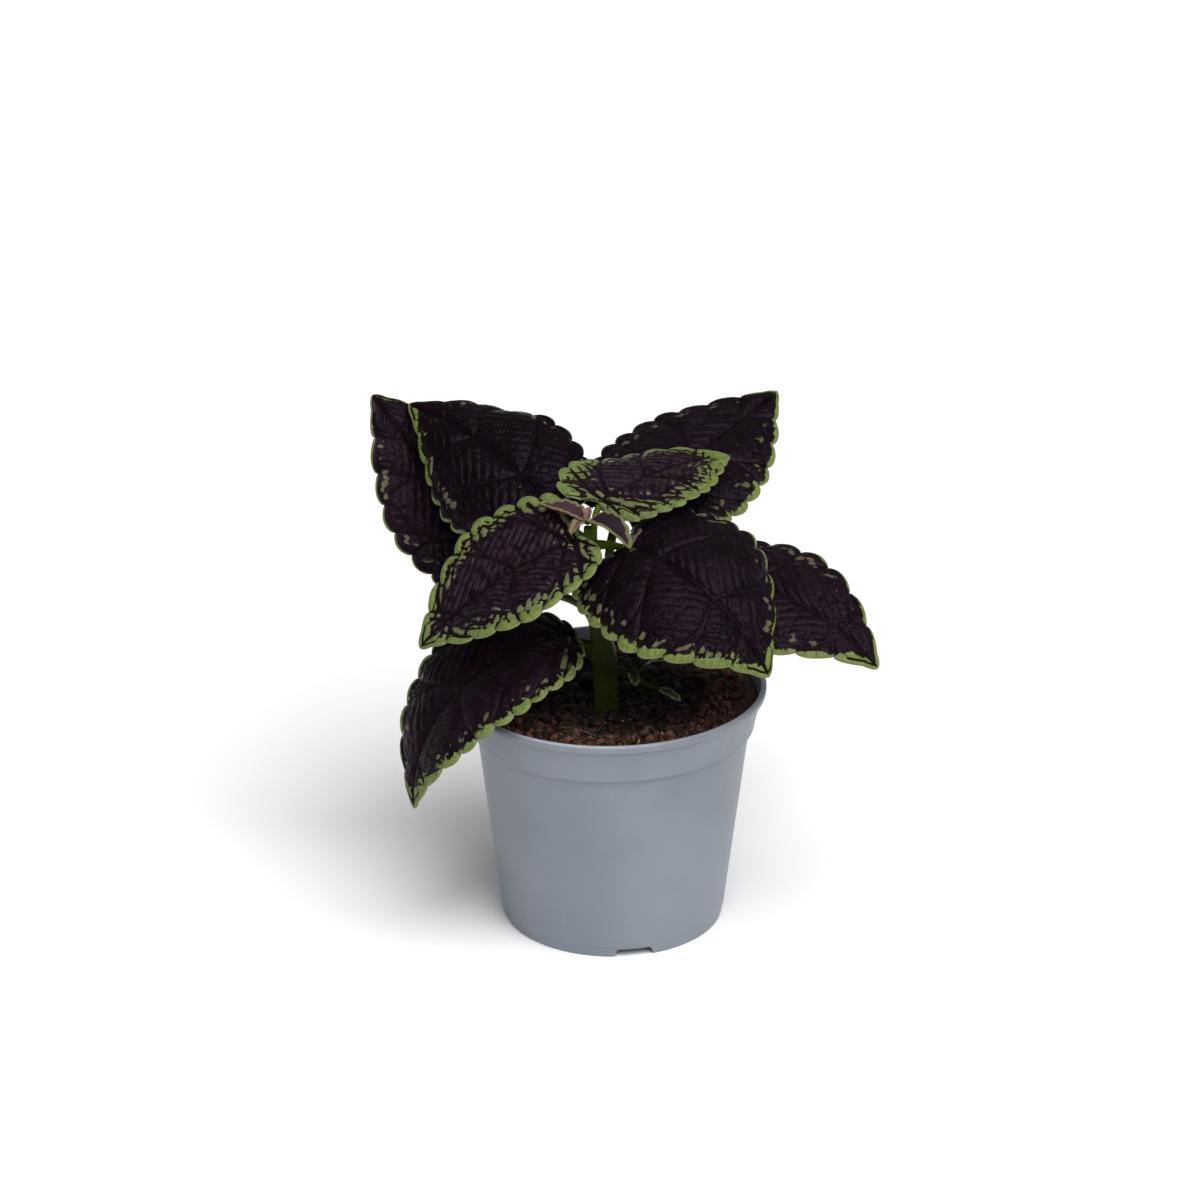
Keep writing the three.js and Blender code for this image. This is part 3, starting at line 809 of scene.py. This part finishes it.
# Flat place on the blade, in mm along and across the midrib, for shares s and t.
def flatPlace(leaf, s, t):
    a = np.abs(t)
    full = leaf["width"] / 2 * outlineShare(s)
    fromTip = np.clip((1 - s) * leaf["length"], 1e-3, blade["blunt"]) / blade["blunt"]
    full = full * fromTip ** -0.45
    notch = np.minimum(leaf.get("scallop", blade["scallop"]), blade["scallopShare"] * full)
    half = np.maximum(blade["endHalf"], full - notch * (1 - toothShare(leaf, s)) * a ** 6)
    sweep = lobeSweep(leaf, s) * (1 - leaf.get("uneven", 0) * t) * a ** 1.5
    return s * leaf["length"] - sweep, half * t, half, sweep


def notchPlace(leaf, k, sign):
    s = shareAtRun(leaf, np.array([runOfTeeth(k / leaf["teeth"])]))
    u, v, _, _ = flatPlace(leaf, s, np.array([float(sign)]))
    return np.array([u[0], v[0]])


# The side veins of a blade in its flat plane, by side, from the base to the tip. Every second
# one is a branch that leaves its neighbour further out.
def sideVeins(leaf, chance):
    sides = {}
    count = blade["veinPoints"]
    for sign in (-1, 1):
        paths = {}
        for k in range(1, leaf["teeth"]):
            s = float(shareAtRun(leaf, runOfTeeth(k / leaf["teeth"])))
            start = max(0.012 + 0.004 * k, s - 0.27 * float(outlineShare(np.array(s))))
            lean = np.array([0.34, 0.56]) + (chance.uniform(-0.02, 0.02), 0)
            root, end = np.array([start * leaf["length"], 0.0]), notchPlace(leaf, k, sign)
            paths[k] = bow(root, root + (end - root) * lean, end, count)
        for k in range(1, leaf["teeth"] - 1, 2):
            parent = paths[k + 1]
            fork = 4 + int(chance.integers(0, 3))
            end = notchPlace(leaf, k, sign)
            heading = unit(parent[fork + 1] - parent[fork - 1])
            elbow = parent[fork] + heading * np.linalg.norm(end - parent[fork]) * 0.45
            paths[k] = np.concatenate([parent[:fork], bow(parent[fork], elbow, end, count)])
        sides[sign] = [paths[k] for k in sorted(paths)]
    return sides


# Distance to the nearest small vein: a loop that closes off each tooth, a row of rounder cells
# behind it, and rungs square to the side veins over the rest of the blade. Also how far each
# point lies inside one of the round spots behind the teeth.
def smallVeins(leaf, chance, sides, u, v, margin, warp, size):
    gap = leaf.get("rungs", blade["rungs"]) * size
    small, blob = np.empty(len(u)), np.empty(len(u))
    far = 9  # mm, where no vein is near
    for sign, paths in sides.items():
        here = v * sign >= 0
        level, along, depth = np.abs(v[here]), u[here], margin[here]
        lines = []
        for path in paths:
            across = np.maximum.accumulate(np.abs(path[:, 1])) + np.arange(len(path)) * 1e-5
            slope = (path[-1, 0] - path[-3, 0]) / max(across[-1] - across[-3], 0.01)
            lines.append(np.interp(level, across, path[:, 0])
                         + np.maximum(0, level - across[-1]) * np.clip(slope, -1, 1))
        lines = np.array([lines[0] - 8 * size, *lines, lines[-1] + 8 * size])
        lines = np.maximum.accumulate(lines, axis=0)
        strip = np.clip((lines <= along).sum(0) - 1, 0, len(lines) - 2)
        low = np.take_along_axis(lines, strip[None], 0)[0]
        width = np.maximum(np.take_along_axis(lines, strip[None] + 1, 0)[0] - low, 0.3)
        q = np.clip((along - low) / width, 0, 1)
        span = width * 0.8
        arch = np.sin(math.pi * q) ** 0.7
        shake = chance.uniform(-1, 1, (6, len(lines)))[:, strip]
        loopAt = np.minimum(span, 7 * size) * (0.3 + 0.45 * arch) * (1 + 0.15 * shake[0])
        loopAt *= leaf.get("caps", 1)
        rowAt = loopAt + np.clip(0.7 * span, 1.5 * size, 3.9 * size) * (1 + 0.15 * shake[1])
        best = np.minimum(np.abs(depth - loopAt), np.abs(depth - rowAt))
        cellCount = np.maximum(1, np.round(span / (3.1 * size)))
        phase = q * cellCount + 0.16 * shake[2]
        divider = np.minimum(phase % 1, 1 - phase % 1) * span / cellCount
        divider = np.where((phase < 0.5) | (phase > cellCount - 0.5), far, divider)
        reached = (depth > loopAt * leaf.get("spurs", 0.8)) & (depth < rowAt)
        best = np.minimum(best, np.where(reached, divider, far))
        ladder = along * 0.64 + level * 0.77 + 0.9 * size * arch + 0.9 * size * warp[here]
        ladder = ladder / gap + shake[3] * 2
        rung = np.floor(ladder).astype(int)
        inward = np.minimum(ladder % 1, 1 - ladder % 1) * gap
        table = chance.uniform(0, 1, (len(lines), 64))[strip, rung % 64]
        middle = np.abs(q - 0.2 - 0.6 * table) * span
        middle = np.where((table > 0.45) & (span > 1.7 * gap), middle, far)
        best = np.minimum(best, np.where(depth > rowAt, np.minimum(inward, middle), far))
        small[here] = best
        draw = chance.uniform(0, 1, (len(lines), 8))[strip, phase.astype(int) % 8]
        aside = (phase % 1 - 0.5) * span / cellCount
        inwards = depth - np.minimum(loopAt, 3.4 * size) - (2.2 + 1.2 * shake[4]) * size
        draw = np.where((strip > 0) & (strip < len(lines) - 2), draw, 0)
        radius = size * np.minimum(3.0 * (draw - 0.33), 1.45)
        blob[here] = radius - np.hypot(aside, 0.85 * inwards)
    return small, blob


# Distance from each flat point to the nearest of many short lines.
def nearest(points, paths):
    starts = np.concatenate([p[:-1] for p in paths]).astype(np.float32)
    ends = np.concatenate([p[1:] for p in paths]).astype(np.float32)
    runs = ends - starts
    sizes = np.maximum((runs ** 2).sum(1), 1e-9)
    best = np.empty(len(points), dtype=np.float32)
    points = points.astype(np.float32)
    for i in range(0, len(points), 2000):
        block = points[i:i + 2000]
        offset = block[:, None] - starts[None]
        share = np.clip((offset * runs[None]).sum(2) / sizes, 0, 1)
        gap = offset - share[..., None] * runs[None]
        best[i:i + 2000] = np.sqrt((gap ** 2).sum(2).min(1))
    return best


def smoothStep(x, low, high):
    t = np.clip((x - low) / (high - low), 0, 1)
    return t * t * (3 - 2 * t)


# A blade as a closed sheet with veins, swollen cells and toothed margin.
def bladeMesh(leaf, seed, rows, columns, size):
    chance = np.random.default_rng(seed)
    rows = leaf["teeth"] * round(rows / leaf["teeth"])  # a row in each notch
    s = shareAtRun(leaf, runOfTeeth(np.linspace(0, 1, rows + 1)))
    t = np.linspace(-1, 1, columns + 1)
    t = np.sign(t) * (1 - (1 - np.abs(t)) ** 1.12)
    middle, along, side, normal = bladeFrames(leaf, s)
    grid = np.meshgrid(s, t, indexing="ij")
    u, v, half, sweep = flatPlace(leaf, *grid)
    flat = np.stack([u.ravel(), v.ravel()], 1)
    a = np.abs(grid[1])
    slope = (leaf["fold"] - leaf["curl"] * a / 2) * radians
    surface = (middle[:, None] + (v * np.cos(slope))[..., None] * side[:, None]
               + (half * a * np.sin(slope) - sagAt(leaf, *grid))[..., None] * normal[:, None]
               - sweep[..., None] * along[:, None])

    sides = sideVeins(leaf, chance)
    midribPath = np.array([[0.0, 0.0], [leaf["length"] * 0.985, 0.0]])
    edgeS = shareAtRun(leaf, np.linspace(0, 1, 700))
    edges = []
    for sign in (-1, 1):
        eu, ev, _, _ = flatPlace(leaf, edgeS, np.full_like(edgeS, sign))
        edges.append(np.stack([eu, ev], 1))
    margin = nearest(flat, edges)
    midrib = nearest(flat, [midribPath])
    large = nearest(flat, [midribPath, *sides[-1], *sides[1]])
    fine = np.array([noise.noise(Vector((x * 0.3, y * 0.5, seed * 3.1))) for x, y in flat / size])
    small, blob = smallVeins(leaf, chance, sides, u.ravel(), v.ravel(), margin, fine, size)

    inner = smoothStep(margin, 0, 3.0 * size).reshape(u.shape)
    pillow = 1 - np.exp(-large / (2.0 * size))
    cell = 1 - np.exp(-small / (0.8 * size))
    quilt = blade["quilt"] * leaf.get("puckered", blade["puckered"]) * size * cell
    lift = blade["puff"] * size * pillow + quilt * (0.4 + 0.6 * pillow) + 0.2 * size * fine
    lift = lift.reshape(u.shape) - 0.4 * size * (blade["puff"] + blade["quilt"])
    ripple = (blade["wave"] * size * a ** 4
              * np.sin(2 * math.pi * (leaf["teeth"] * 0.29 * grid[0] ** 0.8 + 0.17 * seed)
                       + grid[1]) * np.minimum(1, 5 * (1 - grid[0])))
    tooth = toothShare(leaf, grid[0]) * a ** 10 * 0.35 * size
    lift = lift * (0.45 + 0.55 * inner) + ripple - 0.6 * size * smoothStep(a, 0.94, 1) + tooth

    thin = blade["thickness"] * size ** 0.5
    rim = smoothStep(margin, 0, 0.7).reshape(u.shape)
    felt = leaf.get("felt", 0) * smoothStep(a, 0.45, 0.8) * rim  # a swollen margin
    fade = 1.1 - 0.8 * np.clip(flat[:, 0] / leaf["length"], 0, 1)
    rib = (np.exp(-(midrib / 0.95) ** 2) * fade + 0.5 * np.exp(-(large / 0.55) ** 2)
           + 0.2 * np.exp(-(small / 0.35) ** 2)).reshape(u.shape) * size
    skin = thin / 2 * (0.5 + 0.5 * rim)
    top = surface + normal[:, None] * (lift + felt + skin)[..., None]
    under = surface + normal[:, None] * (lift - skin - rib * inner)[..., None]
    points = np.concatenate([top.reshape(-1, 3), under.reshape(-1, 3)])

    wide = columns + 1
    count = len(flat)
    faces, picks = [], []
    for r in range(rows):
        for c in range(columns):
            i = r * wide + c
            faces.append((i, i + 1, i + 1 + wide, i + wide))
            faces.append((count + i, count + i + wide, count + i + 1 + wide, count + i + 1))
            picks += [0, 1]
    rimLine = (list(range(columns)) + [r * wide + columns for r in range(rows)]
               + [rows * wide + c for c in range(columns, 0, -1)]
               + [r * wide for r in range(rows, 0, -1)])
    for i, j in zip(rimLine, rimLine[1:] + rimLine[:1]):
        faces.append((i, count + i, count + j, j))
        picks.append(0)

    # the lime fills some teeth deeper than others, and thins out towards each notch
    which = np.minimum(toothCount(leaf, grid[0]).astype(int), leaf["teeth"] - 1)
    vary = chance.uniform(0.5 + 0.25 * leaf["tone"], 1.5 - 0.3 * leaf["tone"], (2, leaf["teeth"]))
    depths = [np.interp(grid[0], [0.05, 0.45, 0.8, 0.95], leaf[key]) for key in ("left", "right")]
    depths = [np.maximum(depth * v[which], np.minimum(depth, 1.2)) for depth, v in zip(depths, vary)]
    green = np.where(grid[1] < 0, *depths)
    green = (green * (0.25 + 0.75 * toothShare(leaf, grid[0]))).ravel()
    values = {"margin": margin, "largeVein": large, "smallVein": small, "blob": blob, "green": green,
              "flat": np.stack([flat[:, 0], flat[:, 1], np.full(count, seed * 17.0)], 1)}
    for key in ("tone", "deep", "spots"):
        values[key] = np.full(count, leaf.get(key, 0))
    values = {key: np.concatenate([array, array]) for key, array in values.items()}
    return points, faces, picks, values


# The dark upper side: plum cells between darker veins; a lime cap on each tooth, parted
# from the next by the vein in the notch; duller cells behind the caps, fading inwards.
def bladePaint():
    paint, tree, shader = newMaterial("bladeTop")
    flat = stored(tree, "flat", "Vector")
    margin = stored(tree, "margin")
    large = stored(tree, "largeVein")
    small = stored(tree, "smallVein")
    tone = stored(tree, "tone")
    spots = stored(tree, "spots")
    broad = grain(flat, 0.13, 2)
    patchy = grain(flat, 0.24, 1)
    middle = grain(flat, 0.5, 3)
    fine = grain(flat, 2.6, 3, 0.6)

    ragged = timesPlus(middle, 1.4, -0.7)
    ragged = plus(ragged, timesPlus(fine, 0.6, -0.3))
    limit = times(stored(tree, "green"), timesPlus(broad, 1.9, 0.0))
    jagged = timesPlus(tone, -1.6, 2.9)
    jagged = times(jagged, rise(limit, 0.2, 2.5))
    beyond = minus(margin, limit)
    thinner = timesPlus(rise(limit, 9, 16), -1.4, 1)
    notchLine = times(timesPlus(margin, 0.12, 0.38), thinner)
    notchLine = minus(timesPlus(ragged, 0.5, large), notchLine)
    loopLine = minus(small, times(thinner, 0.48))
    caps = times(rise(timesPlus(ragged, jagged, beyond), 0.25, -0.25),
                rise(least(notchLine, loopLine), -0.12, 0.16))
    vein = least(minus(large, 0.4), small)
    cell = timesPlus(ragged, 0.55, vein)
    cell = minus(cell, times(most(beyond, 0), 0.1))
    cell = rise(cell, 0.4, 0.7)
    reach = timesPlus(tone, 2.5, 4.5)
    fade = rise(over(beyond, reach), 1.15, 0.55)
    chosen = rise(timesPlus(tone, 0.4, patchy), 0.46, 0.58)
    dull = times(times(cell, fade), times(chosen, rise(tone, 0.2, 0.7)))
    spot = rise(timesPlus(ragged, 0.8, stored(tree, "blob")), -0.05, 0.4)
    dull = times(most(dull, spot), spots)
    hem = times(rise(margin, 0.55, 0.3), rise(timesPlus(middle, 2.0, limit), 0.9, 2.0))

    lime = blendColour(rise(middle, 0.4, 0.65), leafLook["lime"], leafLook["leaf"])
    lime = blendColour(rise(grain(flat, 1.3, 4, 0.7), 0.55, 0.75), lime, leafLook["limePale"])
    lime = blendColour(rise(timesPlus(ragged, 1.0, margin), 3.5, 7.0), lime, leafLook["capInner"])
    dullColour = blendColour(rise(over(beyond, reach), 0.25, 0.8),
                             leafLook["secondRow"], leafLook["thirdRow"])
    plum = blendColour(rise(broad, 0.4, 0.62), leafLook["dark"], leafLook["plum"])
    # Paler cell centres between the veins: partly the cells' own paler colour, partly a painted sheen
    # on the swollen cells, with painted shade in the vein furrows.
    paleCellAndSheen = times(rise(vein, 0.1, 0.9), rise(vein, 2.2, 1.2))
    paleCellAndSheen = times(paleCellAndSheen, times(tone, rise(patchy, 0.35, 0.6)))
    plum = blendColour(times(paleCellAndSheen, 0.9), plum, leafLook["cell"])
    # Painted shade: blades that lie under others are darkened by their deep value.
    plum = blendColour(stored(tree, "deep"), plum, leafLook["deep"])
    nearGreen = times(rise(beyond, 4.0, 0.5), rise(limit, 0.6, 2.0))
    plum = blendColour(times(nearGreen, 0.85), plum, leafLook["veinInGreen"])
    # Small pale specks: partly dust, partly painted glints.
    dustAndGlintSpecks = times(rise(cells(flat, 0.16), 0.06, 0.03), 0.6)
    plum = blendColour(dustAndGlintSpecks, plum, leafLook["thirdRow"])
    colour = blendColour(dull, plum, dullColour)
    colour = blendColour(caps, colour, lime)
    colour = blendColour(times(hem, 0.85), colour, leafLook["rim"])
    coat(shader, colour, timesPlus(fine, 0.2, leafLook["roughness"] - 0.1), 0.06)
    shader.inputs["Specular Tint"].default_value = (1, 0.72, 0.95, 1)
    tiny = cells(flat, 1.1, "SMOOTH_F1")
    quilt = times(least(vein, 1.2), 0.8)
    bump(shader, plus(timesPlus(fine, 0.35, tiny), quilt), 0.4, 0.0006)
    return paint


# The downy youngest leaves: a dark boat inside a broad felted margin; the bud is pink.
def youngPaint():
    paint, tree, shader = newMaterial("youngTop")
    flat = stored(tree, "flat", "Vector")
    middle = grain(flat, 0.9, 3)
    down = grain(flat, 6, 3, 0.7)
    inside = rise(timesPlus(middle, 0.8, stored(tree, "margin")), 1.7, 2.4)
    felt = blendColour(rise(middle, 0.42, 0.62), leafLook["felt"], leafLook["feltMauve"])
    vein = rise(least(stored(tree, "largeVein"), stored(tree, "smallVein")), 0.3, 0.1)
    dark = blendColour(times(vein, 0.5), leafLook["youngDark"], leafLook["dark"])
    colour = blendColour(inside, felt, dark)
    colour = blendColour(stored(tree, "tone"), colour, leafLook["pink"])
    colour = blendColour(times(rise(down, 0.55, 0.8), 0.4), colour, leafLook["feltMauve"])
    coat(shader, colour, 0.7, 0.15)
    bump(shader, down, 0.5, 0.0005)
    return paint


def undersidePaint():
    paint, tree, shader = newMaterial("bladeUnder")
    flat = stored(tree, "flat", "Vector")
    vein = least(stored(tree, "largeVein"), plus(stored(tree, "smallVein"), 0.25))
    middle = grain(flat, 0.5, 3)
    green = times(stored(tree, "green"), timesPlus(middle, 1.0, 0.4))
    depth = over(stored(tree, "margin"), green)
    colour = blendColour(rise(vein, 0.7, 0.1), leafLook["underside"], leafLook["undersideVein"])
    colour = blendColour(rise(depth, 1.1, 0.5), colour, leafLook["undersideGreen"])
    colour = blendColour(times(middle, 0.3), colour, leafLook["dark"])
    coat(shader, colour, 0.6)
    bump(shader, grain(flat, 2.2, 3), 0.3, 0.0004)
    return paint


# Several small leaves as one mesh; plain holds the values that they share.
def smallLeaves(leaves, plain, firstSeed, rows, columns, size):
    parts, picks, values = [], [], []
    for seed, leaf in enumerate(leaves, firstSeed):
        made = bladeMesh({**plain, **leaf}, seed, rows, columns, size)
        parts.append(made[:2])
        picks += made[2]
        values.append(made[3])
    values = {key: np.concatenate([v[key] for v in values]) for key in values[0]}
    return *gather(parts), picks, values


def makeLeaves():
    paints = [bladePaint(), undersidePaint()]
    for seed, (name, leaf) in enumerate(largeLeaves.items(), 1):
        points, faces, picks, values = bladeMesh(leaf, seed, blade["rows"], blade["columns"], 1.0)
        addPiece(name.replace("leaf", "blade"), points, faces, paints, "leaf", [name], picks, values)
        print("leaf", name)
    plain = dict(bend=0, roll=0, teeth=7, left=(1,) * 4, right=(1,) * 4, felt=0.45, scallop=0.5,
                 base=bud["place"])
    leaves = []
    for leaf in youngLeaves:
        along = bladeFrames({**plain, **leaf}, np.array([0.0]))[1]
        base = np.array(bud["place"]) + along[0] * bud["radius"] * 0.5
        leaves.append({**leaf, "base": tuple(base)})
    points, faces, picks, values = smallLeaves(leaves, plain, 21, blade["youngRows"],
                                               blade["youngColumns"], 0.42)
    addPiece("young_blades", points, faces, [youngPaint(), paints[1]], "young_leaf",
             ["young_leaves"], picks, values)


# stem, stalks, side shoot and hairs

stemShape = {
    # centre and half width of the square stem, mm
    "stations": [
        ((-2.2, -12, 66), 2.6), ((-2.6, -12.3, 80), 4.4), ((-2.9, -12.4, 95), 5.1),
        ((-3.2, -12.3, 108), 4.6), ((-4, -12, 119), 5.2), ((-6, -12, 131), 3.6),
        ((-8.6, -12, 146), 3), ((-9.4, -12, 160), 2.9), ((-9.8, -13, 169), 2.2),
        ((-10.2, -14.2, 174.6), 1.5),
    ],
    "voxel": 0.42,  # mm, of the skin that joins the stalks to the stem
    "hairs": 1700, "hairsFrom": 97, "hairLength": (0.4, 0.9), "hairWidth": 0.045,
    "seed": 7,
}
sideShoot = {
    "radius": 0.9,
    "strands": [
        [(-2, -13, 113), (6, -17, 113.5), (9.5, -19, 114), (14, -20, 119)],
        [(-1, -13, 112), (8, -18, 111.5), (13, -20, 109), (19, -22, 108)],
    ],
    "leaves": [
        dict(base=(13, -20, 118), heading=330, rise=50, droop=50, length=9, width=5),
        dict(base=(18, -22, 108.2), heading=335, rise=-5, droop=30, length=10, width=6),
        dict(base=(7, -17.5, 113.5), heading=285, rise=10, droop=60, length=8, width=4.5),
    ],
    "shade": tint(70, 84, 36),
    "colour": tint(120, 142, 72),
    "inner": tint(70, 50, 46),
}
stemLook = {
    "green": tint(78, 100, 28),
    "deep": tint(38, 52, 12),
    # base: the lower stem's darker green, partly its own colour and partly painted shade
    "base": tint(42, 54, 11),
    # node: near-black, painted shade on the stem just under the lower leaves
    "node": tint(8, 11, 3),
    "blush": tint(62, 40, 26),
    "hair": tint(206, 214, 184),
    "hairShade": tint(160, 170, 128),
    "roughness": 0.42,
}


def stemAt(height):
    stations = stemShape["stations"]
    heights = [at[2] for at, _ in stations]
    return np.array([np.interp(height, heights, [at[k] for at, _ in stations]) for k in range(3)])


# A square section with rounded corners and a shallow groove down each face.
def squareSection(angles, _):
    power = 6
    reach = (np.abs(np.cos(angles)) ** power + np.abs(np.sin(angles)) ** power) ** (-1 / power)
    return reach * (1 - 0.05 * (0.5 + 0.5 * np.cos(4 * angles)))


def stalkPath(leaf):
    start = stemAt(leaf["stalkFrom"])
    shares = np.linspace(0.02, 0.5, 40)
    middle, along, _, normal = bladeFrames(leaf, np.concatenate([[0], shares]))
    first = middle[0] + along[0] * 2 - normal[0] * (0.45 + 0.85 * leaf["stalk"])
    reach = np.linalg.norm(first - start) / 3
    outward = first - start
    outward[2] = 0
    outward = unit(outward)
    outward[2] = 0.8
    outward = unit(outward)
    path = bezier(start, start + outward * reach, first - along[0] * reach, first, 40)
    distance = shares * leaf["length"]
    radius = np.interp(distance, [2, 10, 24, leaf["length"] * 0.5],
                       [0.85 * leaf["stalk"], 0.55 * leaf["stalk"], 0.35 * leaf["stalk"], 0.25])
    sink = np.interp(distance, [2, 10, 40], [0.45 + 0.85 * leaf["stalk"], 1.1, 1.0])
    sink = np.maximum(sink, 1.25 + 0.7 * radius)
    rib = middle[1:] - normal[1:] * sink[:, None]
    keep = distance > 4
    stemEnd = np.linalg.norm(path - start, axis=1)
    radii = 0.85 * leaf["stalk"] * (1 + 0.55 * np.exp(-np.maximum(0, stemEnd - 4) / 3.5))
    return np.concatenate([path, rib[keep]]), np.concatenate([radii, radius[keep]])


def stemPaint():
    paint, tree, shader = newMaterial("stemGreen")
    place = meshPlace(tree)
    height = heightOf(place)
    lines = grain(stretched(place, 0.15), 900, 3, 0.6)
    colour = blendColour(rise(grain(place, 60, 3), 0.3, 0.7), stemLook["deep"], stemLook["green"])
    # Darker below 112 to 150 mm up: partly the stem's own darker base, partly painted shade under the
    # leaves.
    colour = blendColour(rise(height, 0.15, 0.112), colour, stemLook["base"])
    # Painted shade: a near-black band between 108 and 138 mm up, where the leaves above shade the
    # stem.
    node = times(rise(height, 0.108, 0.114), rise(height, 0.138, 0.126))
    colour = blendColour(times(node, 0.4), colour, stemLook["node"])
    colour = blendColour(times(rise(lines, 0.5, 0.75), 0.35), colour, stemLook["deep"])
    blush = times(rise(grain(place, 110, 4, 0.6), 0.52, 0.75), 0.35)
    colour = blendColour(blush, colour, stemLook["blush"])
    coat(shader, colour, stemLook["roughness"], 0.05)
    bump(shader, lines, 0.3, 0.0004)
    return paint


def hairPaint():
    paint, tree, shader = newMaterial("fineHair")
    colour = blendColour(grain(meshPlace(tree), 300), stemLook["hair"], stemLook["hairShade"])
    coat(shader, colour, 0.5)
    return paint


def vertexValues(mesh, key):
    flat = np.empty(len(mesh.vertices) * 3)
    mesh.vertices.foreach_get(key, flat)
    return flat.reshape(-1, 3)


def makeStem():
    stations = stemShape["stations"]
    path = throughPoints([at for at, _ in stations], 12)
    halves = np.interp(path[:, 2], [at[2] for at, _ in stations], [half for _, half in stations])
    parts = [tube(path, halves, 48, squareSection, front=(0, 1, 0))]
    for leaf in largeLeaves.values():
        parts.append(tube(*stalkPath(leaf), 16))
    for strand in sideShoot["strands"]:
        line = throughPoints(strand, 10)
        parts.append(tube(line, np.linspace(1.15, 0.7, len(line)) * sideShoot["radius"], 12))
    budPlace, budSize = np.array(bud["place"]), bud["radius"] * 0.85
    parts.append(crumb(np.random.default_rng(3), budPlace, budSize, 3, 0.25))
    points, faces = gather(parts)
    mesh = bpy.data.meshes.new("stem_raw")
    mesh.from_pydata(points.tolist(), [], faces)
    raw = link("stem_raw", mesh)
    skin = raw.modifiers.new("skin", "REMESH")
    skin.mode = "VOXEL"
    skin.voxel_size = stemShape["voxel"]
    ease = raw.modifiers.new("ease", "SMOOTH")
    ease.factor = 0.5
    ease.iterations = 4
    settle(raw)
    joined, normals = vertexValues(raw.data, "co"), vertexValues(raw.data, "normal")
    faces = [tuple(polygon.vertices) for polygon in raw.data.polygons]
    bpy.data.objects.remove(raw)
    addPiece("stem_and_stalks", joined, faces, [stemPaint()], "stem", ["stem"])
    print("stem", len(joined), "points")
    chance = np.random.default_rng(stemShape["seed"])
    above = np.flatnonzero(joined[:, 2] > stemShape["hairsFrom"])
    hairs = []
    for index in chance.choice(above, stemShape["hairs"], replace=False):
        out = unit(normals[index] + chance.normal(0, 0.3, 3))
        reach = chance.uniform(*stemShape["hairLength"])
        root = joined[index] - normals[index] * 0.1
        hairs.append(spike(root, out, reach, stemShape["hairWidth"]))
    addPiece("stem_hairs", *gather(hairs), [hairPaint()], "stem")


# A fine closed spike with three sides.
def spike(root, out, reach, width):
    side = unit(np.cross(out, (0.31, 0.52, 0.79)))
    other = np.cross(out, side)
    ring = [root + width * (math.cos(a) * side + math.sin(a) * other)
            for a in (0, 2 * math.pi / 3, 4 * math.pi / 3)]
    return [*ring, root + out * reach], [(0, 2, 1), (0, 1, 3), (1, 2, 3), (2, 0, 3)]


def shootPaint():
    paint, tree, shader = newMaterial("shootLeaf")
    flat = stored(tree, "flat", "Vector")
    mix = rise(grain(flat, 0.8, 3), 0.35, 0.65)
    colour = blendColour(mix, sideShoot["shade"], sideShoot["colour"])
    colour = blendColour(rise(stored(tree, "margin"), 0.5, 1.4), colour, sideShoot["inner"])
    coat(shader, colour, 0.5)
    bump(shader, grain(flat, 3), 0.3, 0.0003)
    return paint


def makeShootLeaves():
    plain = dict(bend=0, roll=0, fold=12, curl=10, lobe=0, teeth=4, scallop=0.2, left=(1,) * 4,
                 right=(1,) * 4, tone=0.8)
    points, faces, _, values = smallLeaves(sideShoot["leaves"], plain, 31, 40, 20, 0.3)
    addPiece("shoot_blades", points, faces, [shootPaint()], "young_leaf", values=values)


makeStudio()
print("studio")
makePot()
print("pot")
makeSoil()
print("soil")
makeStem()
makeLeaves()
makeShootLeaves()
print("leaves")
